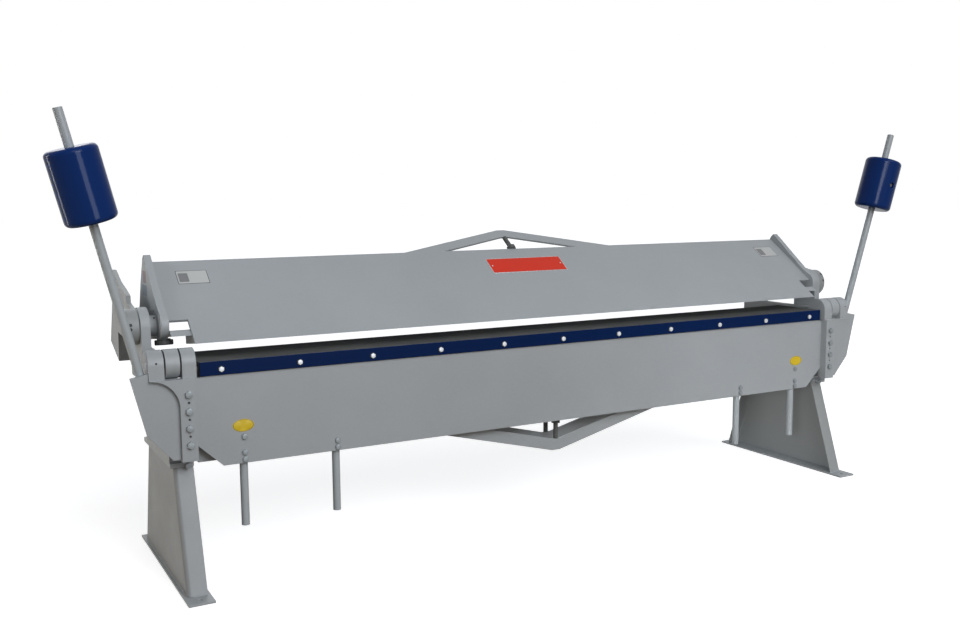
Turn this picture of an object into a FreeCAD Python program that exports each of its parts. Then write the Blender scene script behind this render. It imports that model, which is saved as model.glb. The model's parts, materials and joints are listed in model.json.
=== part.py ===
"""Sheet metal folder: a hand bending brake with a folding apron, a clamping leaf and two stands.

Units are millimetres. +X runs along the machine, +Y from front to back and +Z up. The origin is
the centre of the footprint, on the floor. Places along Y are counted from the hinge line, the
axis on which the apron turns. One end is drawn at +X and mirrored to the other end.
"""
import FreeCAD, Part
import math
import os
import Sketcher

SIZES = {
    # whole machine
    "bar_length": 3050,
    "bar_end_gap": 70,
    "hinge_forward": 234,
    "fastener_clearance": 0.5,
    "pin_clearance": 0.1,
    "slide_clearance": 0.05,
    "overlap": 1,
    # feet and legs
    "foot_length": 844,
    "foot_width": 93,
    "foot_thickness": 8,
    "anchor_inset": 35,
    "anchor_hole": 18,
    "leg_inset": 12,
    "leg_sheet": 6,
    "leg_flange": 71,
    "leg_bend": 16,
    "leg_height": 433,
    "leg_foot_front": 118,
    "leg_foot_rear": 615,
    "leg_head_front": 27,
    "leg_head_rear": 480,
    "cap_thickness": 17,
    "cap_overhang": 12,
    "foot_bolt_inset": 30,
    # end frames
    "casting_thickness": 36,
    "casting_height": 362,
    "casting_foot": 14,
    "casting_foot_reach": 40,
    "casting_foot_rear": 430,
    "casting_neck": 8,
    "boss_front": 72,
    "boss_depth": 150,
    "boss_drop": 300,
    "boss_height": 160,
    "bed_bolt_inset": 25,
    # hinge knuckles
    "knuckle_radius": 52,
    "frame_knuckle": 49,
    "inner_knuckle": 49,
    "outer_knuckle": 53,
    "knuckle_gap": 5.5,
    "hinge_pin_radius": 16,
    "hinge_pin_cap": 8,
    # bed
    "bed_bar_height": 20,
    "bed_bar_width": 93,
    "bed_bar_start": 1,
    "bed_rear_bar_width": 147,
    "bed_bar_gap": 1,
    "bed_plate": 12,
    "bed_web_start": 18,
    "bed_depth": 370,
    "bed_floor_width": 96,
    "bed_end_gap": 6,
    # apron
    "apron_front": 28,
    "apron_plate": 12,
    "apron_height": 382,
    "apron_tab_clearance": 2.5,
    "apron_tab_drop": 320,
    "apron_corner_run": 95,
    "apron_corner_height": 90,
    "apron_bar_height": 52,
    "apron_bar_back": 1,
    "apron_lip": 6,
    "apron_lip_reach": 27,
    "strip_thickness": 8,
    "strip_height": 49,
    "strip_screw_inset": 75,
    "strip_screw_drop": 29,
    "strip_screw_reach": 18.9,
    "strip_hole_depth": 19.9,
    # apron end castings
    "flange_front": 62,
    "flange_gap": 22,
    "flange_lap": 3,
    "flange_height": 294,
    "flange_strip": 56,
    "flange_sweep": 100,
    "knuckle_block_back": 16,
    "wing_front": 46,
    "wing_back": 25,
    "wing_toe": 27,
    "wing_toe_drop": 336,
    "wing_heel_reach": 10,
    "wing_heel_drop": 243,
    "wing_tip_reach": 59.5,
    "wing_tip_drop": 36,
    "wing_root_drop": 24,
    "flange_bolt_line": 26,
    "flange_bolt_first": 59,
    "flange_bolt_pitch": 60,
    "dowel_radius": 4.5,
    "dowel_recess": 6,
    # counterweights
    "arm_radius": 15.5,
    "arm_lean": 14.4,
    "arm_heading": 14.7,
    "arm_foot_inset": 13,
    "arm_foot_back": 2.6,
    "arm_foot_drop": 170,
    "arm_length": 1066,
    "arm_boss_radius": 26,
    "arm_boss_length": 130,
    "arm_boss_start": 6,
    "weight_radius": 86,
    "weight_length": 250,
    "weight_edge": 18,
    "weight_place": 812,
    "weight_screw_radius": 8,
    "weight_screw_recess": 13,
    "weight_screw_bore": 13.6,
    # lifting handles
    "handle_radius": 15,
    "handle_overhang": 238,
    "outer_handle_inset": 152,
    "inner_handle_inset": 508,
    "outer_handle_rise": 122,
    "inner_handle_rise": 64,
    "handle_bolt_rise": 14,
    "handle_bolt_pitch": 26,
    "outer_handle_bolt_rise": 98,
    # trusses
    "truss_half": 580,
    "truss_drop": 140,
    "leaf_truss_half": 548,
    "leaf_truss_rise": 140,
    "truss_band": 51,
    "truss_flat": 20,
    "truss_strap": 10,
    "truss_post_radius": 10,
    "truss_nut_flats": 36,
    "truss_nut_height": 20,
    "bed_truss_back": 97,
    "leaf_truss_depth": 2,
    # leaf
    "open_angle": 7.1,
    "leaf_angle": 43.2,
    "leaf_length": 463,
    "leaf_plate": 12,
    "leaf_nose_overhang": 2,
    "leaf_notch": 130,
    "nose_setback": 9,
    "nose_bar_height": 30,
    "nose_bar_depth": 150,
    "leaf_flange": 22,
    "leaf_flange_depth": 210,
    "leaf_lip": 10,
    "leaf_lip_depth": 60,
    "leaf_rib": 10,
    "leaf_rib_reach": 380,
    "nose_screw_back": 134,
    "nose_screw_reach": 24,
    "nose_hole_depth": 27,
    "leaf_end_gap": 3,
    "leaf_end": 28,
    "leaf_end_clearance": 3,
    "end_step_along": 197,
    "end_step_proud": 15,
    "leaf_pivot_back": 507,
    "leaf_pivot_rise": 70,
    "leaf_pivot_radius": 15,
    "leaf_pivot_ear": 45,
    "leaf_lug_radius": 50,
    "leaf_lug_back": 129,
    "leaf_lug_rise": 75,
    "leaf_crest_rise": 343,
    "leaf_crest_back": 331,
    "leaf_crest_run": 18,
    "leaf_crest_drop": 11,
    "leaf_brow_run": 81,
    "leaf_brow_drop": 90,
    "leaf_nape_run": 139,
    "leaf_nape_drop": 184,
    "pivot_pin_overhang": 6,
    # clamp levers, shafts and links
    "clamp_back": 190,
    "clamp_rise": 74.4,
    "clamp_shaft_radius": 15,
    "clamp_shaft_overhang": 12,
    "collar_radius": 38,
    "collar_length": 27,
    "collar_clearance": 2,
    "link_thickness": 35,
    "link_width": 140,
    "link_foot_drop": 98,
    "link_foot_clearance": 1,
    "link_boss_radius": 32,
    "link_pin_radius": 16,
    "link_pin_collar": 6,
    "link_pin_collar_radius": 24,
    "link_slot_clearance": 7,
    "hub_clearance": 2,
    "hub_thickness": 38,
    "hub_radius": 65,
    "lever_plate": 16,
    "lever_block": 48,
    "lever_neck_back": 84,
    "lever_neck_low": 81,
    "lever_neck_high": 106,
    "lever_shoulder_back": 140,
    "lever_shoulder_rise": 120,
    "lever_crest_back": 260,
    "lever_crest_rise": 145,
    "lever_top_front": 365,
    "lever_top_rear": 394,
    "lever_top_rise": 184,
    "lever_waist_back": 406,
    "lever_waist_rise": 61,
    "lever_tail_back": 489,
    "lever_tail_drop": 109,
    "lever_heel_back": 314,
    "lever_heel_drop": 168,
    "lever_crotch_back": 300,
    "lever_crotch_drop": 52,
    # set-back blocks at the rear pivots
    "ear_thickness": 23,
    "ear_front": 452,
    "ear_rear": 566,
    "ear_drop": 120,
    "ear_rise": 115,
    "block_length": 60,
    "block_height": 50,
    "setback_travel": 5,
    "setback_screw_radius": 8,
    "setback_screw_length": 60,
    "cover_thickness": 6,
    "cover_margin": 8,
    # nameplate
    "nameplate_width": 388,
    "nameplate_height": 100,
    "nameplate_thickness": 2,
    "nameplate_shift": 18,
    "nameplate_rise": 297,
    # standard fasteners
    "small_shank": 5,
    "small_flats": 17,
    "small_head": 6.4,
    "medium_shank": 6,
    "medium_flats": 19,
    "medium_head": 7.5,
    "large_shank": 8,
    "large_flats": 24,
    "large_head": 10,
    "bolt_end": 8,
}

doc = FreeCAD.newDocument("sheet_metal_folder")
sheet = doc.addObject("Spreadsheet::Sheet", "Sizes")
NODES = {}


class Measure(float):
    """A number that keeps the sheet formula it comes from."""

    def __new__(cls, value, formula):
        measure = super().__new__(cls, value)
        measure.formula = formula
        return measure

    def __add__(self, other):
        return Measure(float(self) + float(other), "(%s + %s)" % (formula(self), formula(other)))

    def __radd__(self, other):
        return Measure(float(other) + float(self), "(%s + %s)" % (formula(other), formula(self)))

    def __sub__(self, other):
        return Measure(float(self) - float(other), "(%s - %s)" % (formula(self), formula(other)))

    def __rsub__(self, other):
        return Measure(float(other) - float(self), "(%s - %s)" % (formula(other), formula(self)))

    def __mul__(self, other):
        return Measure(float(self) * float(other), "(%s * %s)" % (formula(self), formula(other)))

    def __rmul__(self, other):
        return Measure(float(other) * float(self), "(%s * %s)" % (formula(other), formula(self)))

    def __truediv__(self, other):
        return Measure(float(self) / float(other), "(%s / %s)" % (formula(self), formula(other)))

    def __rtruediv__(self, other):
        return Measure(float(other) / float(self), "(%s / %s)" % (formula(other), formula(self)))

    def __neg__(self):
        return Measure(-float(self), "(0 - %s)" % formula(self))


def formula(value):
    """The sheet formula of a measure, or a plain number as text."""
    return value.formula if isinstance(value, Measure) else repr(float(value))


def sine(angle):
    return Measure(math.sin(math.radians(angle)), "sin(%s)" % formula(angle))


def cosine(angle):
    return Measure(math.cos(math.radians(angle)), "cos(%s)" % formula(angle))


def root(value):
    return Measure(math.sqrt(value), "sqrt(%s)" % formula(value))


class Sizes:
    """The driving dimensions, each a measure tied to its cell."""


def fill_sheet():
    for row, (name, value) in enumerate(SIZES.items(), 1):
        cell = "B%d" % row
        sheet.set("A%d" % row, name)
        sheet.set(cell, str(value))
        sheet.setAlias(cell, name)
        setattr(Sizes, name, Measure(value, "Sizes." + name))
    doc.recompute()


def bind(item, path, value):
    item.setExpression(path, formula(value))


def place(item, x, y, z, rotation=None):
    """Put an item at a place whose coordinates are measures."""
    if rotation is not None:
        item.Placement = FreeCAD.Placement(FreeCAD.Vector(), rotation)
    for letter, value in zip("xyz", (x, y, z)):
        bind(item, "Placement.Base." + letter, value)


def node(label, item):
    item.Label = label
    NODES[label] = item
    return item


# Sketches, pads and pockets

def new_body(label):
    return doc.addObject("PartDesign::Body", label)


def draw_outline(sketch, points):
    """A closed outline whose corners are tied to measures."""
    first = sketch.GeometryCount
    count = len(points)
    corners = [FreeCAD.Vector(float(u), float(v), 0) for u, v in points]
    sketch.addGeometry([Part.LineSegment(corners[i], corners[(i + 1) % count]) for i in range(count)])
    sketch.addConstraint([Sketcher.Constraint("Coincident", first + i, 2, first + (i + 1) % count, 1)
                          for i in range(count)])
    for i, (u, v) in enumerate(points):
        pin_point(sketch, first + i, 1, u, v)


def draw_circle(sketch, u, v, radius):
    circle = Part.Circle(FreeCAD.Vector(float(u), float(v), 0), FreeCAD.Vector(0, 0, 1), float(radius))
    index = sketch.addGeometry(circle)
    pin_point(sketch, index, 3, u, v)
    rule = sketch.addConstraint(Sketcher.Constraint("Radius", index, float(radius)))
    sketch.setExpression("Constraints[%d]" % rule, formula(radius))


def pin_point(sketch, index, vertex, u, v):
    for kind, value in (("DistanceX", u), ("DistanceY", v)):
        rule = sketch.addConstraint(Sketcher.Constraint(kind, -1, 1, index, vertex, float(value)))
        sketch.setExpression("Constraints[%d]" % rule, formula(value))


def extrude(body, axis, low, high, outline=None, circles=(), cut=False):
    """Pad or pocket a sketch along an axis, from low to high."""
    plane_role = {"x": "YZ_Plane", "y": "XZ_Plane", "z": "XY_Plane"}[axis]
    plane = [item for item in body.Origin.OriginFeatures if item.Role == plane_role][0]
    backward = axis == "y"
    start = high if backward != cut else low
    sketch = body.newObject("Sketcher::SketchObject", "Profile")
    sketch.AttachmentSupport = [(plane, "")]
    sketch.MapMode = "FlatFace"
    bind(sketch, "AttachmentOffset.Base.z", -start if backward else start)
    if outline:
        draw_outline(sketch, outline)
    for u, v, radius in circles:
        draw_circle(sketch, u, v, radius)
    doc.recompute()
    before = body.Shape.Volume if cut else 0.0
    feature = body.newObject("PartDesign::Pocket" if cut else "PartDesign::Pad", "Feature")
    feature.Profile = sketch
    bind(feature, "Length", high - low)
    doc.recompute()
    if cut and body.Shape.Volume > before - 1.0:
        raise RuntimeError("a pocket in %s removes nothing" % body.Name)
    return feature


def cut_away(body, axis, low, high, outline=None, circles=()):
    return extrude(body, axis, low, high, outline, circles, cut=True)


def round_edges(body, radius, picks):
    """Round each edge that the test picks."""
    base = body.Tip
    names = ["Edge%d" % number for number, edge in enumerate(base.Shape.Edges, 1) if picks(edge)]
    if not names:
        raise RuntimeError("no edge to round in %s" % body.Name)
    feature = body.newObject("PartDesign::Fillet", "Rounding")
    feature.Base = (base, names)
    bind(feature, "Radius", radius)
    doc.recompute()


def rectangle(u_low, u_high, v_low, v_high):
    return [(u_low, v_low), (u_high, v_low), (u_high, v_high), (u_low, v_high)]


def mirrored(label, source):
    item = doc.addObject("Part::Mirroring", label)
    item.Source = source
    item.Normal = (1, 0, 0)
    return node(label, item)


def both_ends(name, build):
    """Build a piece at the +X end and mirror it to the other end."""
    right = node("right_" + name, build())
    mirrored("left_" + name, right)


# Rods, bolts and groups

ROTATIONS = {
    "+x": FreeCAD.Rotation(FreeCAD.Vector(0, 1, 0), 90),
    "-x": FreeCAD.Rotation(FreeCAD.Vector(0, 1, 0), -90),
    "+y": FreeCAD.Rotation(FreeCAD.Vector(1, 0, 0), -90),
    "-y": FreeCAD.Rotation(FreeCAD.Vector(1, 0, 0), 90),
    "+z": FreeCAD.Rotation(),
    "-z": FreeCAD.Rotation(FreeCAD.Vector(1, 0, 0), 180),
}
OPPOSITE = {"+x": "-x", "-x": "+x", "+y": "-y", "-y": "+y", "+z": "-z", "-z": "+z"}


def rod(x, y, z, direction, radius, length):
    item = doc.addObject("Part::Cylinder", "Rod")
    bind(item, "Radius", radius)
    bind(item, "Height", length)
    place(item, x, y, z, ROTATIONS[direction])
    return item


def hexagon(x, y, z, direction, flats, height):
    item = doc.addObject("Part::Prism", "Hexagon")
    item.Polygon = 6
    bind(item, "Circumradius", flats / math.sqrt(3))
    bind(item, "Height", height)
    place(item, x, y, z, ROTATIONS[direction])
    return item


def fuse(first, second):
    item = doc.addObject("Part::Fuse", "Fusion")
    item.Base = first
    item.Tool = second
    return item


def subtract(first, second):
    item = doc.addObject("Part::Cut", "Cut")
    item.Base = first
    item.Tool = second
    return item


def group(label, items):
    """Several separate solids that share one node."""
    item = doc.addObject("Part::Compound", label)
    item.Links = items
    return node(label, item)


def bolt(x, y, z, direction, kind, grip):
    """A hexagon bolt whose head stands out along a direction; its shank goes the other way."""
    head = hexagon(x, y, z, direction, getattr(Sizes, kind + "_flats"), getattr(Sizes, kind + "_head"))
    shank = rod(x, y, z, OPPOSITE[direction], getattr(Sizes, kind + "_shank"), grip)
    return fuse(head, shank)


def nut(x, y, z, direction, kind):
    """A hexagon nut that fits round the shank of the same kind of bolt."""
    flats = getattr(Sizes, kind + "_flats")
    height = getattr(Sizes, kind + "_head")
    bore = getattr(Sizes, kind + "_shank") + Sizes.pin_clearance
    return subtract(hexagon(x, y, z, direction, flats, height), rod(x, y, z, direction, bore, height))


fill_sheet()
S = Sizes

# Places that several pieces share

hinge = -S.hinge_forward
leg_top = S.foot_thickness + S.leg_height
cap_top = leg_top + S.cap_thickness
top = cap_top + S.casting_height
bar_half = S.bar_length / 2
bed_half = bar_half + S.bed_end_gap
casting_inner = bar_half + S.bar_end_gap
casting_outer = casting_inner + S.casting_thickness
leg_outer = casting_outer - S.leg_inset
leg_inner = leg_outer - S.leg_flange
frame_knuckle_end = casting_inner + S.frame_knuckle
inner_knuckle_end = casting_inner - S.knuckle_gap
inner_knuckle_start = inner_knuckle_end - S.inner_knuckle
outer_knuckle_start = frame_knuckle_end + S.knuckle_gap
outer_knuckle_end = outer_knuckle_start + S.outer_knuckle
bed_bottom = top - S.bed_depth
boss_bottom = top - S.boss_drop
bed_bolt_backs = (S.boss_front + S.bed_bolt_inset, S.boss_front + S.boss_depth - S.bed_bolt_inset)
bed_bolt_heights = (boss_bottom + S.bed_bolt_inset, boss_bottom + S.boss_height - S.bed_bolt_inset)
foot_bolt_line = casting_inner - S.casting_foot_reach / 2
foot_bolt_backs = (S.leg_head_front + S.foot_bolt_inset, (S.leg_head_front + S.casting_foot_rear) / 2,
                   S.casting_foot_rear - S.foot_bolt_inset)
apron_bottom = top - S.apron_height
apron_bar_bottom = top - S.apron_bar_height
flange_inner = bar_half + S.flange_gap
flange_strip_end = flange_inner + S.flange_strip
flange_top = top - S.knuckle_radius + S.flange_lap
flange_bottom = flange_top - S.flange_height
flange_bolt_x = flange_inner + S.flange_bolt_line
flange_bolt_start = flange_bottom + S.flange_bolt_first
flange_bolt_heights = [flange_bolt_start + S.flange_bolt_pitch * i for i in range(4)]
dowel_heights = [flange_bolt_start + S.flange_bolt_pitch * (i + 0.5) for i in range(3)]
outer_handle_place = bar_half - S.outer_handle_inset
inner_handle_place = bar_half - S.inner_handle_inset
strip_screw_pitch = (bar_half - S.strip_screw_inset) / 5
strip_screw_places = [strip_screw_pitch * i for i in range(-5, 6)]
strip_screw_height = top - S.strip_screw_drop
leaf_nose_half = bar_half + S.leaf_nose_overhang
pivot_back = S.leaf_pivot_back
pivot_height = top + S.leaf_pivot_rise
leaf_end_inner = casting_inner + S.leaf_end_gap
leaf_end_outer = leaf_end_inner + S.leaf_end
ear_inner = leaf_end_outer + S.leaf_end_clearance
ear_outer = ear_inner + S.ear_thickness
ear_bottom = top - S.ear_drop
ear_top = top + S.ear_rise
collar_end = leaf_end_outer + S.collar_length
link_inner = collar_end + S.collar_clearance
link_outer = link_inner + S.link_thickness
link_foot_height = top - S.link_foot_drop
hub_inner = link_outer + S.hub_clearance
hub_outer = hub_inner + S.hub_thickness


def opened(back, height):
    """Where a point of the closed leaf lies when the leaf stands open about its rear pivot."""
    reach = back - S.leaf_pivot_back
    rise = height - pivot_height
    turned_back = reach * cosine(S.open_angle) + rise * sine(S.open_angle)
    turned_rise = rise * cosine(S.open_angle) - reach * sine(S.open_angle)
    return S.leaf_pivot_back + turned_back, pivot_height + turned_rise


clamp_back, clamp_height = opened(S.clamp_back, top + S.clamp_rise)
nose_back, nose_height = opened(S.nose_setback, top)


def turn_open(item):
    """Turn a piece drawn on the closed leaf about the rear pivot, to the open place."""
    item.Placement = FreeCAD.Placement(FreeCAD.Vector(), FreeCAD.Rotation(FreeCAD.Vector(1, 0, 0), -1))
    bind(item, "Placement.Rotation.Angle", -S.open_angle)
    pivot = hinge + S.leaf_pivot_back
    bind(item, "Placement.Base.y",
         pivot - pivot * cosine(S.open_angle) - pivot_height * sine(S.open_angle))
    bind(item, "Placement.Base.z",
         pivot_height + pivot * sine(S.open_angle) - pivot_height * cosine(S.open_angle))
    return item


def lay_on_leaf(item):
    """Lay a piece drawn flat on the front face of the open leaf; local Y runs up the leaf."""
    item.Placement = FreeCAD.Placement(FreeCAD.Vector(), FreeCAD.Rotation(FreeCAD.Vector(1, 0, 0), 1))
    bind(item, "Placement.Rotation.Angle", S.leaf_angle - S.open_angle)
    bind(item, "Placement.Base.y", hinge + nose_back)
    bind(item, "Placement.Base.z", nose_height)
    return item


# Feet, legs and caps

def foot_plate():
    body = new_body("FootPlate")
    middle = casting_outer - S.foot_width / 2
    anchor = S.foot_length / 2 - S.anchor_inset
    extrude(body, "z", 0, S.foot_thickness,
            rectangle(casting_outer - S.foot_width, casting_outer,
                      -S.foot_length / 2, S.foot_length / 2),
            [(middle, -anchor, S.anchor_hole / 2), (middle, anchor, S.anchor_hole / 2)])
    return body


def leg():
    """A bent channel, open towards the middle of the machine, that narrows upwards."""
    body = new_body("Leg")
    front_run = S.leg_foot_front + S.leg_head_front
    rear_run = S.leg_foot_rear - S.leg_head_rear
    front_wall = S.leg_sheet * root(front_run * front_run + S.leg_height * S.leg_height) / S.leg_height
    rear_wall = S.leg_sheet * root(rear_run * rear_run + S.leg_height * S.leg_height) / S.leg_height
    extrude(body, "x", leg_inner, leg_outer,
            [(hinge - S.leg_foot_front, S.foot_thickness), (hinge + S.leg_foot_rear, S.foot_thickness),
             (hinge + S.leg_head_rear, leg_top), (hinge + S.leg_head_front, leg_top)])
    cut_away(body, "x", leg_inner, leg_outer - S.leg_sheet,
             [(hinge - S.leg_foot_front + front_wall, S.foot_thickness),
              (hinge + S.leg_foot_rear - rear_wall, S.foot_thickness),
              (hinge + S.leg_head_rear - rear_wall, leg_top),
              (hinge + S.leg_head_front + front_wall, leg_top)])

    def bend_at(x):
        def picks(edge):
            ends = [vertex.Point for vertex in edge.Vertexes]
            upright = abs(ends[0].z - ends[-1].z) > S.leg_height / 2
            return upright and all(abs(end.x - x) < 0.1 for end in ends)
        return picks

    round_edges(body, S.leg_bend, bend_at(leg_outer))
    round_edges(body, S.leg_bend - S.leg_sheet, bend_at(leg_outer - S.leg_sheet))
    return body


def leg_cap():
    body = new_body("LegCap")
    extrude(body, "z", leg_top, cap_top,
            rectangle(leg_inner, casting_outer, hinge + S.leg_head_front - S.cap_overhang,
                      hinge + S.leg_head_rear + S.cap_overhang),
            [(foot_bolt_line, hinge + back, S.large_shank + S.fastener_clearance)
             for back in foot_bolt_backs])
    return body


# End frames

def frame_casting():
    """The side frame: a plate with a hinge knuckle, a rear ear and a boss for the bed."""
    body = new_body("FrameCasting")
    foot_top = cap_top + S.casting_foot
    extrude(body, "x", casting_inner, casting_outer,
            [(hinge + S.leg_head_front, cap_top), (hinge + S.casting_foot_rear, cap_top),
             (hinge + S.ear_rear, ear_bottom), (hinge + S.ear_rear, top), (hinge, top),
             (hinge + S.casting_neck, top - S.knuckle_radius)])
    extrude(body, "x", casting_inner, frame_knuckle_end, circles=[(hinge, top, S.knuckle_radius)])
    extrude(body, "z", cap_top, foot_top,
            rectangle(casting_inner - S.casting_foot_reach, casting_inner,
                      hinge + S.leg_head_front, hinge + S.casting_foot_rear))
    extrude(body, "x", casting_outer - S.overlap, ear_outer,
            rectangle(hinge + S.ear_front, hinge + S.ear_rear, ear_bottom, top - S.bed_bar_height))
    extrude(body, "x", ear_inner, ear_outer,
            rectangle(hinge + S.ear_front, hinge + S.ear_rear, top - S.bed_bar_height, ear_top))
    extrude(body, "x", casting_outer, link_inner - S.link_foot_clearance,
            circles=[(hinge + clamp_back, link_foot_height, S.link_boss_radius)])
    extrude(body, "x", bed_half, casting_inner,
            rectangle(hinge + S.boss_front, hinge + S.boss_front + S.boss_depth,
                      boss_bottom, boss_bottom + S.boss_height))
    cut_away(body, "x", casting_inner, frame_knuckle_end, circles=[(hinge, top, S.hinge_pin_radius)])
    cut_away(body, "x", casting_inner, link_inner,
             circles=[(hinge + clamp_back, link_foot_height, S.link_pin_radius)])
    cut_away(body, "x", bed_half, casting_outer,
             circles=[(hinge + back, height, S.large_shank + S.fastener_clearance)
                      for back in bed_bolt_backs for height in bed_bolt_heights])
    cut_away(body, "z", cap_top, foot_top,
             circles=[(foot_bolt_line, hinge + back, S.large_shank + S.fastener_clearance)
                      for back in foot_bolt_backs])
    half_block = S.block_length / 2
    half_height = S.block_height / 2 + S.slide_clearance
    cut_away(body, "x", ear_inner, ear_outer,
             rectangle(hinge + pivot_back - half_block - S.fastener_clearance,
                       hinge + pivot_back + half_block + S.setback_travel + S.fastener_clearance,
                       pivot_height - half_height, pivot_height + half_height))
    cut_away(body, "y", hinge + pivot_back + half_block, hinge + S.ear_rear,
             circles=[((ear_inner + ear_outer) / 2, pivot_height,
                       S.setback_screw_radius + S.fastener_clearance)])

    def ear_corner(edge):
        ends = [vertex.Point for vertex in edge.Vertexes]
        return all(end.z > ear_top - 1 for end in ends) and abs(ends[0].x - ends[-1].x) > 1

    round_edges(body, S.cover_margin, ear_corner)
    return body


def hinge_pin():
    pin_start = inner_knuckle_start + S.hinge_pin_cap
    return rod(pin_start, hinge, top, "+x", S.hinge_pin_radius, outer_knuckle_end - pin_start)


def link_pin():
    """The link's lower pin, with a collar that keeps the link on."""
    pin = rod(casting_inner, hinge + clamp_back, link_foot_height, "+x",
              S.link_pin_radius, link_outer - casting_inner)
    collar = rod(link_outer, hinge + clamp_back, link_foot_height, "+x",
                 S.link_pin_collar_radius, S.link_pin_collar)
    return fuse(pin, collar)


def slide_cover():
    """A cover that keeps the set-back block in its ear."""
    body = new_body("SlideCover")
    half_block = S.block_length / 2
    half_height = S.block_height / 2 + S.cover_margin
    extrude(body, "x", ear_outer, ear_outer + S.cover_thickness,
            rectangle(hinge + pivot_back - half_block - S.cover_margin,
                      hinge + pivot_back + half_block + S.setback_travel + S.cover_margin,
                      pivot_height - half_height, pivot_height + half_height))
    return body


# Bed

def bed_plates():
    """The welded box under the bed bars: top, front web, floor, slanted rear web and end plates."""
    bars_bottom = top - S.bed_bar_height
    plate_bottom = bars_bottom - S.bed_plate
    floor_top = bed_bottom + S.bed_plate
    bed_back = S.bed_bar_start + S.bed_bar_width + S.bed_bar_gap + S.bed_rear_bar_width
    floor_back = S.bed_web_start + S.bed_floor_width
    inner_half = bed_half - S.bed_plate

    top_plate = new_body("BedTopPlate")
    extrude(top_plate, "x", -bed_half, bed_half,
            rectangle(hinge + S.bed_bar_start, hinge + bed_back, plate_bottom, bars_bottom))
    node("bed_top_plate", top_plate)

    front_web = new_body("BedFrontWeb")
    extrude(front_web, "x", -inner_half, inner_half,
            rectangle(hinge + S.bed_web_start, hinge + S.bed_web_start + S.bed_plate,
                      floor_top, plate_bottom))
    node("bed_front_web", front_web)

    floor = new_body("BedFloor")
    extrude(floor, "x", -bed_half, bed_half,
            rectangle(hinge + S.bed_web_start, hinge + floor_back, bed_bottom, floor_top))
    node("bed_floor_plate", floor)

    rear_web = new_body("BedRearWeb")
    extrude(rear_web, "x", -inner_half, inner_half,
            [(hinge + floor_back - S.bed_plate, floor_top), (hinge + floor_back, floor_top),
             (hinge + bed_back, plate_bottom), (hinge + bed_back - S.bed_plate, plate_bottom)])
    node("bed_rear_web", rear_web)

    end_plate = new_body("BedEndPlate")
    extrude(end_plate, "x", inner_half, bed_half,
            rectangle(hinge + S.bed_web_start, hinge + bed_back, floor_top, plate_bottom),
            [(hinge + back, height, S.large_shank + S.fastener_clearance)
             for back in bed_bolt_backs for height in bed_bolt_heights])
    other_end = doc.addObject("Part::Mirroring", "OtherBedEnd")
    other_end.Source = end_plate
    other_end.Normal = (1, 0, 0)
    group("bed_end_plates", [end_plate, other_end])

    bar = new_body("BedBar")
    extrude(bar, "x", -bar_half, bar_half,
            rectangle(hinge + S.bed_bar_start, hinge + S.bed_bar_start + S.bed_bar_width,
                      bars_bottom, top))
    node("bed_bar", bar)

    rear_bar = new_body("BedRearBar")
    extrude(rear_bar, "x", -bar_half, bar_half,
            rectangle(hinge + bed_back - S.bed_rear_bar_width, hinge + bed_back, bars_bottom, top))
    node("bed_rear_bar", rear_bar)


def truss_outline(half, drop, base, sign):
    """A flat bar bent to a shallow V: both ends lie on the base line, the point lies beyond it."""
    slope = drop / (half - S.truss_flat)
    inner_drop = drop - S.truss_band
    inner_half = S.truss_flat + inner_drop / slope
    return [(-half, base), (-S.truss_flat, base + drop * sign), (S.truss_flat, base + drop * sign),
            (half, base), (inner_half, base), (S.truss_flat, base + inner_drop * sign),
            (-S.truss_flat, base + inner_drop * sign), (-inner_half, base)]


def lower_truss(name, front, base):
    """A strap below a beam, with its post and nut."""
    strap = new_body("Truss")
    extrude(strap, "y", hinge + front, hinge + front + S.truss_strap,
            truss_outline(S.truss_half, S.truss_drop, base, -1))
    node(name + "_truss_strap", strap)
    middle = hinge + front + S.truss_strap / 2
    post_length = S.truss_drop - S.truss_band
    post = rod(0, middle, base, "-z", S.truss_post_radius, post_length)
    nut_body = hexagon(0, middle, base, "-z", S.truss_nut_flats, S.truss_nut_height)
    nut_bore = rod(0, middle, base, "-z", S.truss_post_radius, S.truss_nut_height)
    group(name + "_truss_post", [post, subtract(nut_body, nut_bore)])


# Apron

def apron_plate():
    """The folding plate, with a tab at each end for the castings and a lip along the bottom."""
    body = new_body("ApronPlate")
    front = hinge - S.apron_front
    back = front + S.apron_plate
    straight = flange_inner - S.apron_corner_run
    corner_height = apron_bottom + S.apron_corner_height
    tab_end = flange_strip_end - S.apron_tab_clearance
    tab_top = top - S.knuckle_radius - S.apron_tab_clearance
    tab_bottom = top - S.apron_tab_drop
    right_half = [(straight, apron_bottom), (flange_inner, corner_height), (flange_inner, tab_bottom),
                  (tab_end, tab_bottom), (tab_end, tab_top), (bar_half, tab_top),
                  (bar_half, apron_bar_bottom)]
    extrude(body, "y", front, back, right_half + [(-x, z) for x, z in reversed(right_half)])
    extrude(body, "z", apron_bottom, apron_bottom + S.apron_lip,
            rectangle(-straight, straight, back, hinge + S.apron_lip_reach))
    bolt_holes = [(side * flange_bolt_x, height, S.large_shank + S.fastener_clearance)
                  for side in (-1, 1) for height in flange_bolt_heights]
    dowel_holes = [(side * flange_bolt_x, height, S.dowel_radius)
                   for side in (-1, 1) for height in dowel_heights]
    cut_away(body, "y", front, back, circles=bolt_holes + dowel_holes)
    cut_away(body, "y", front, back,
             circles=[(side * x, height, S.medium_shank + S.fastener_clearance)
                      for side in (-1, 1) for x, height in handle_bolt_places()])
    handle_line = back + S.handle_radius
    cut_away(body, "z", apron_bottom, apron_bottom + S.apron_lip,
             circles=[(side * x, handle_line, S.handle_radius + S.fastener_clearance)
                      for side in (-1, 1) for x in (outer_handle_place, inner_handle_place)])
    return node("apron_plate", body)


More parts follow.
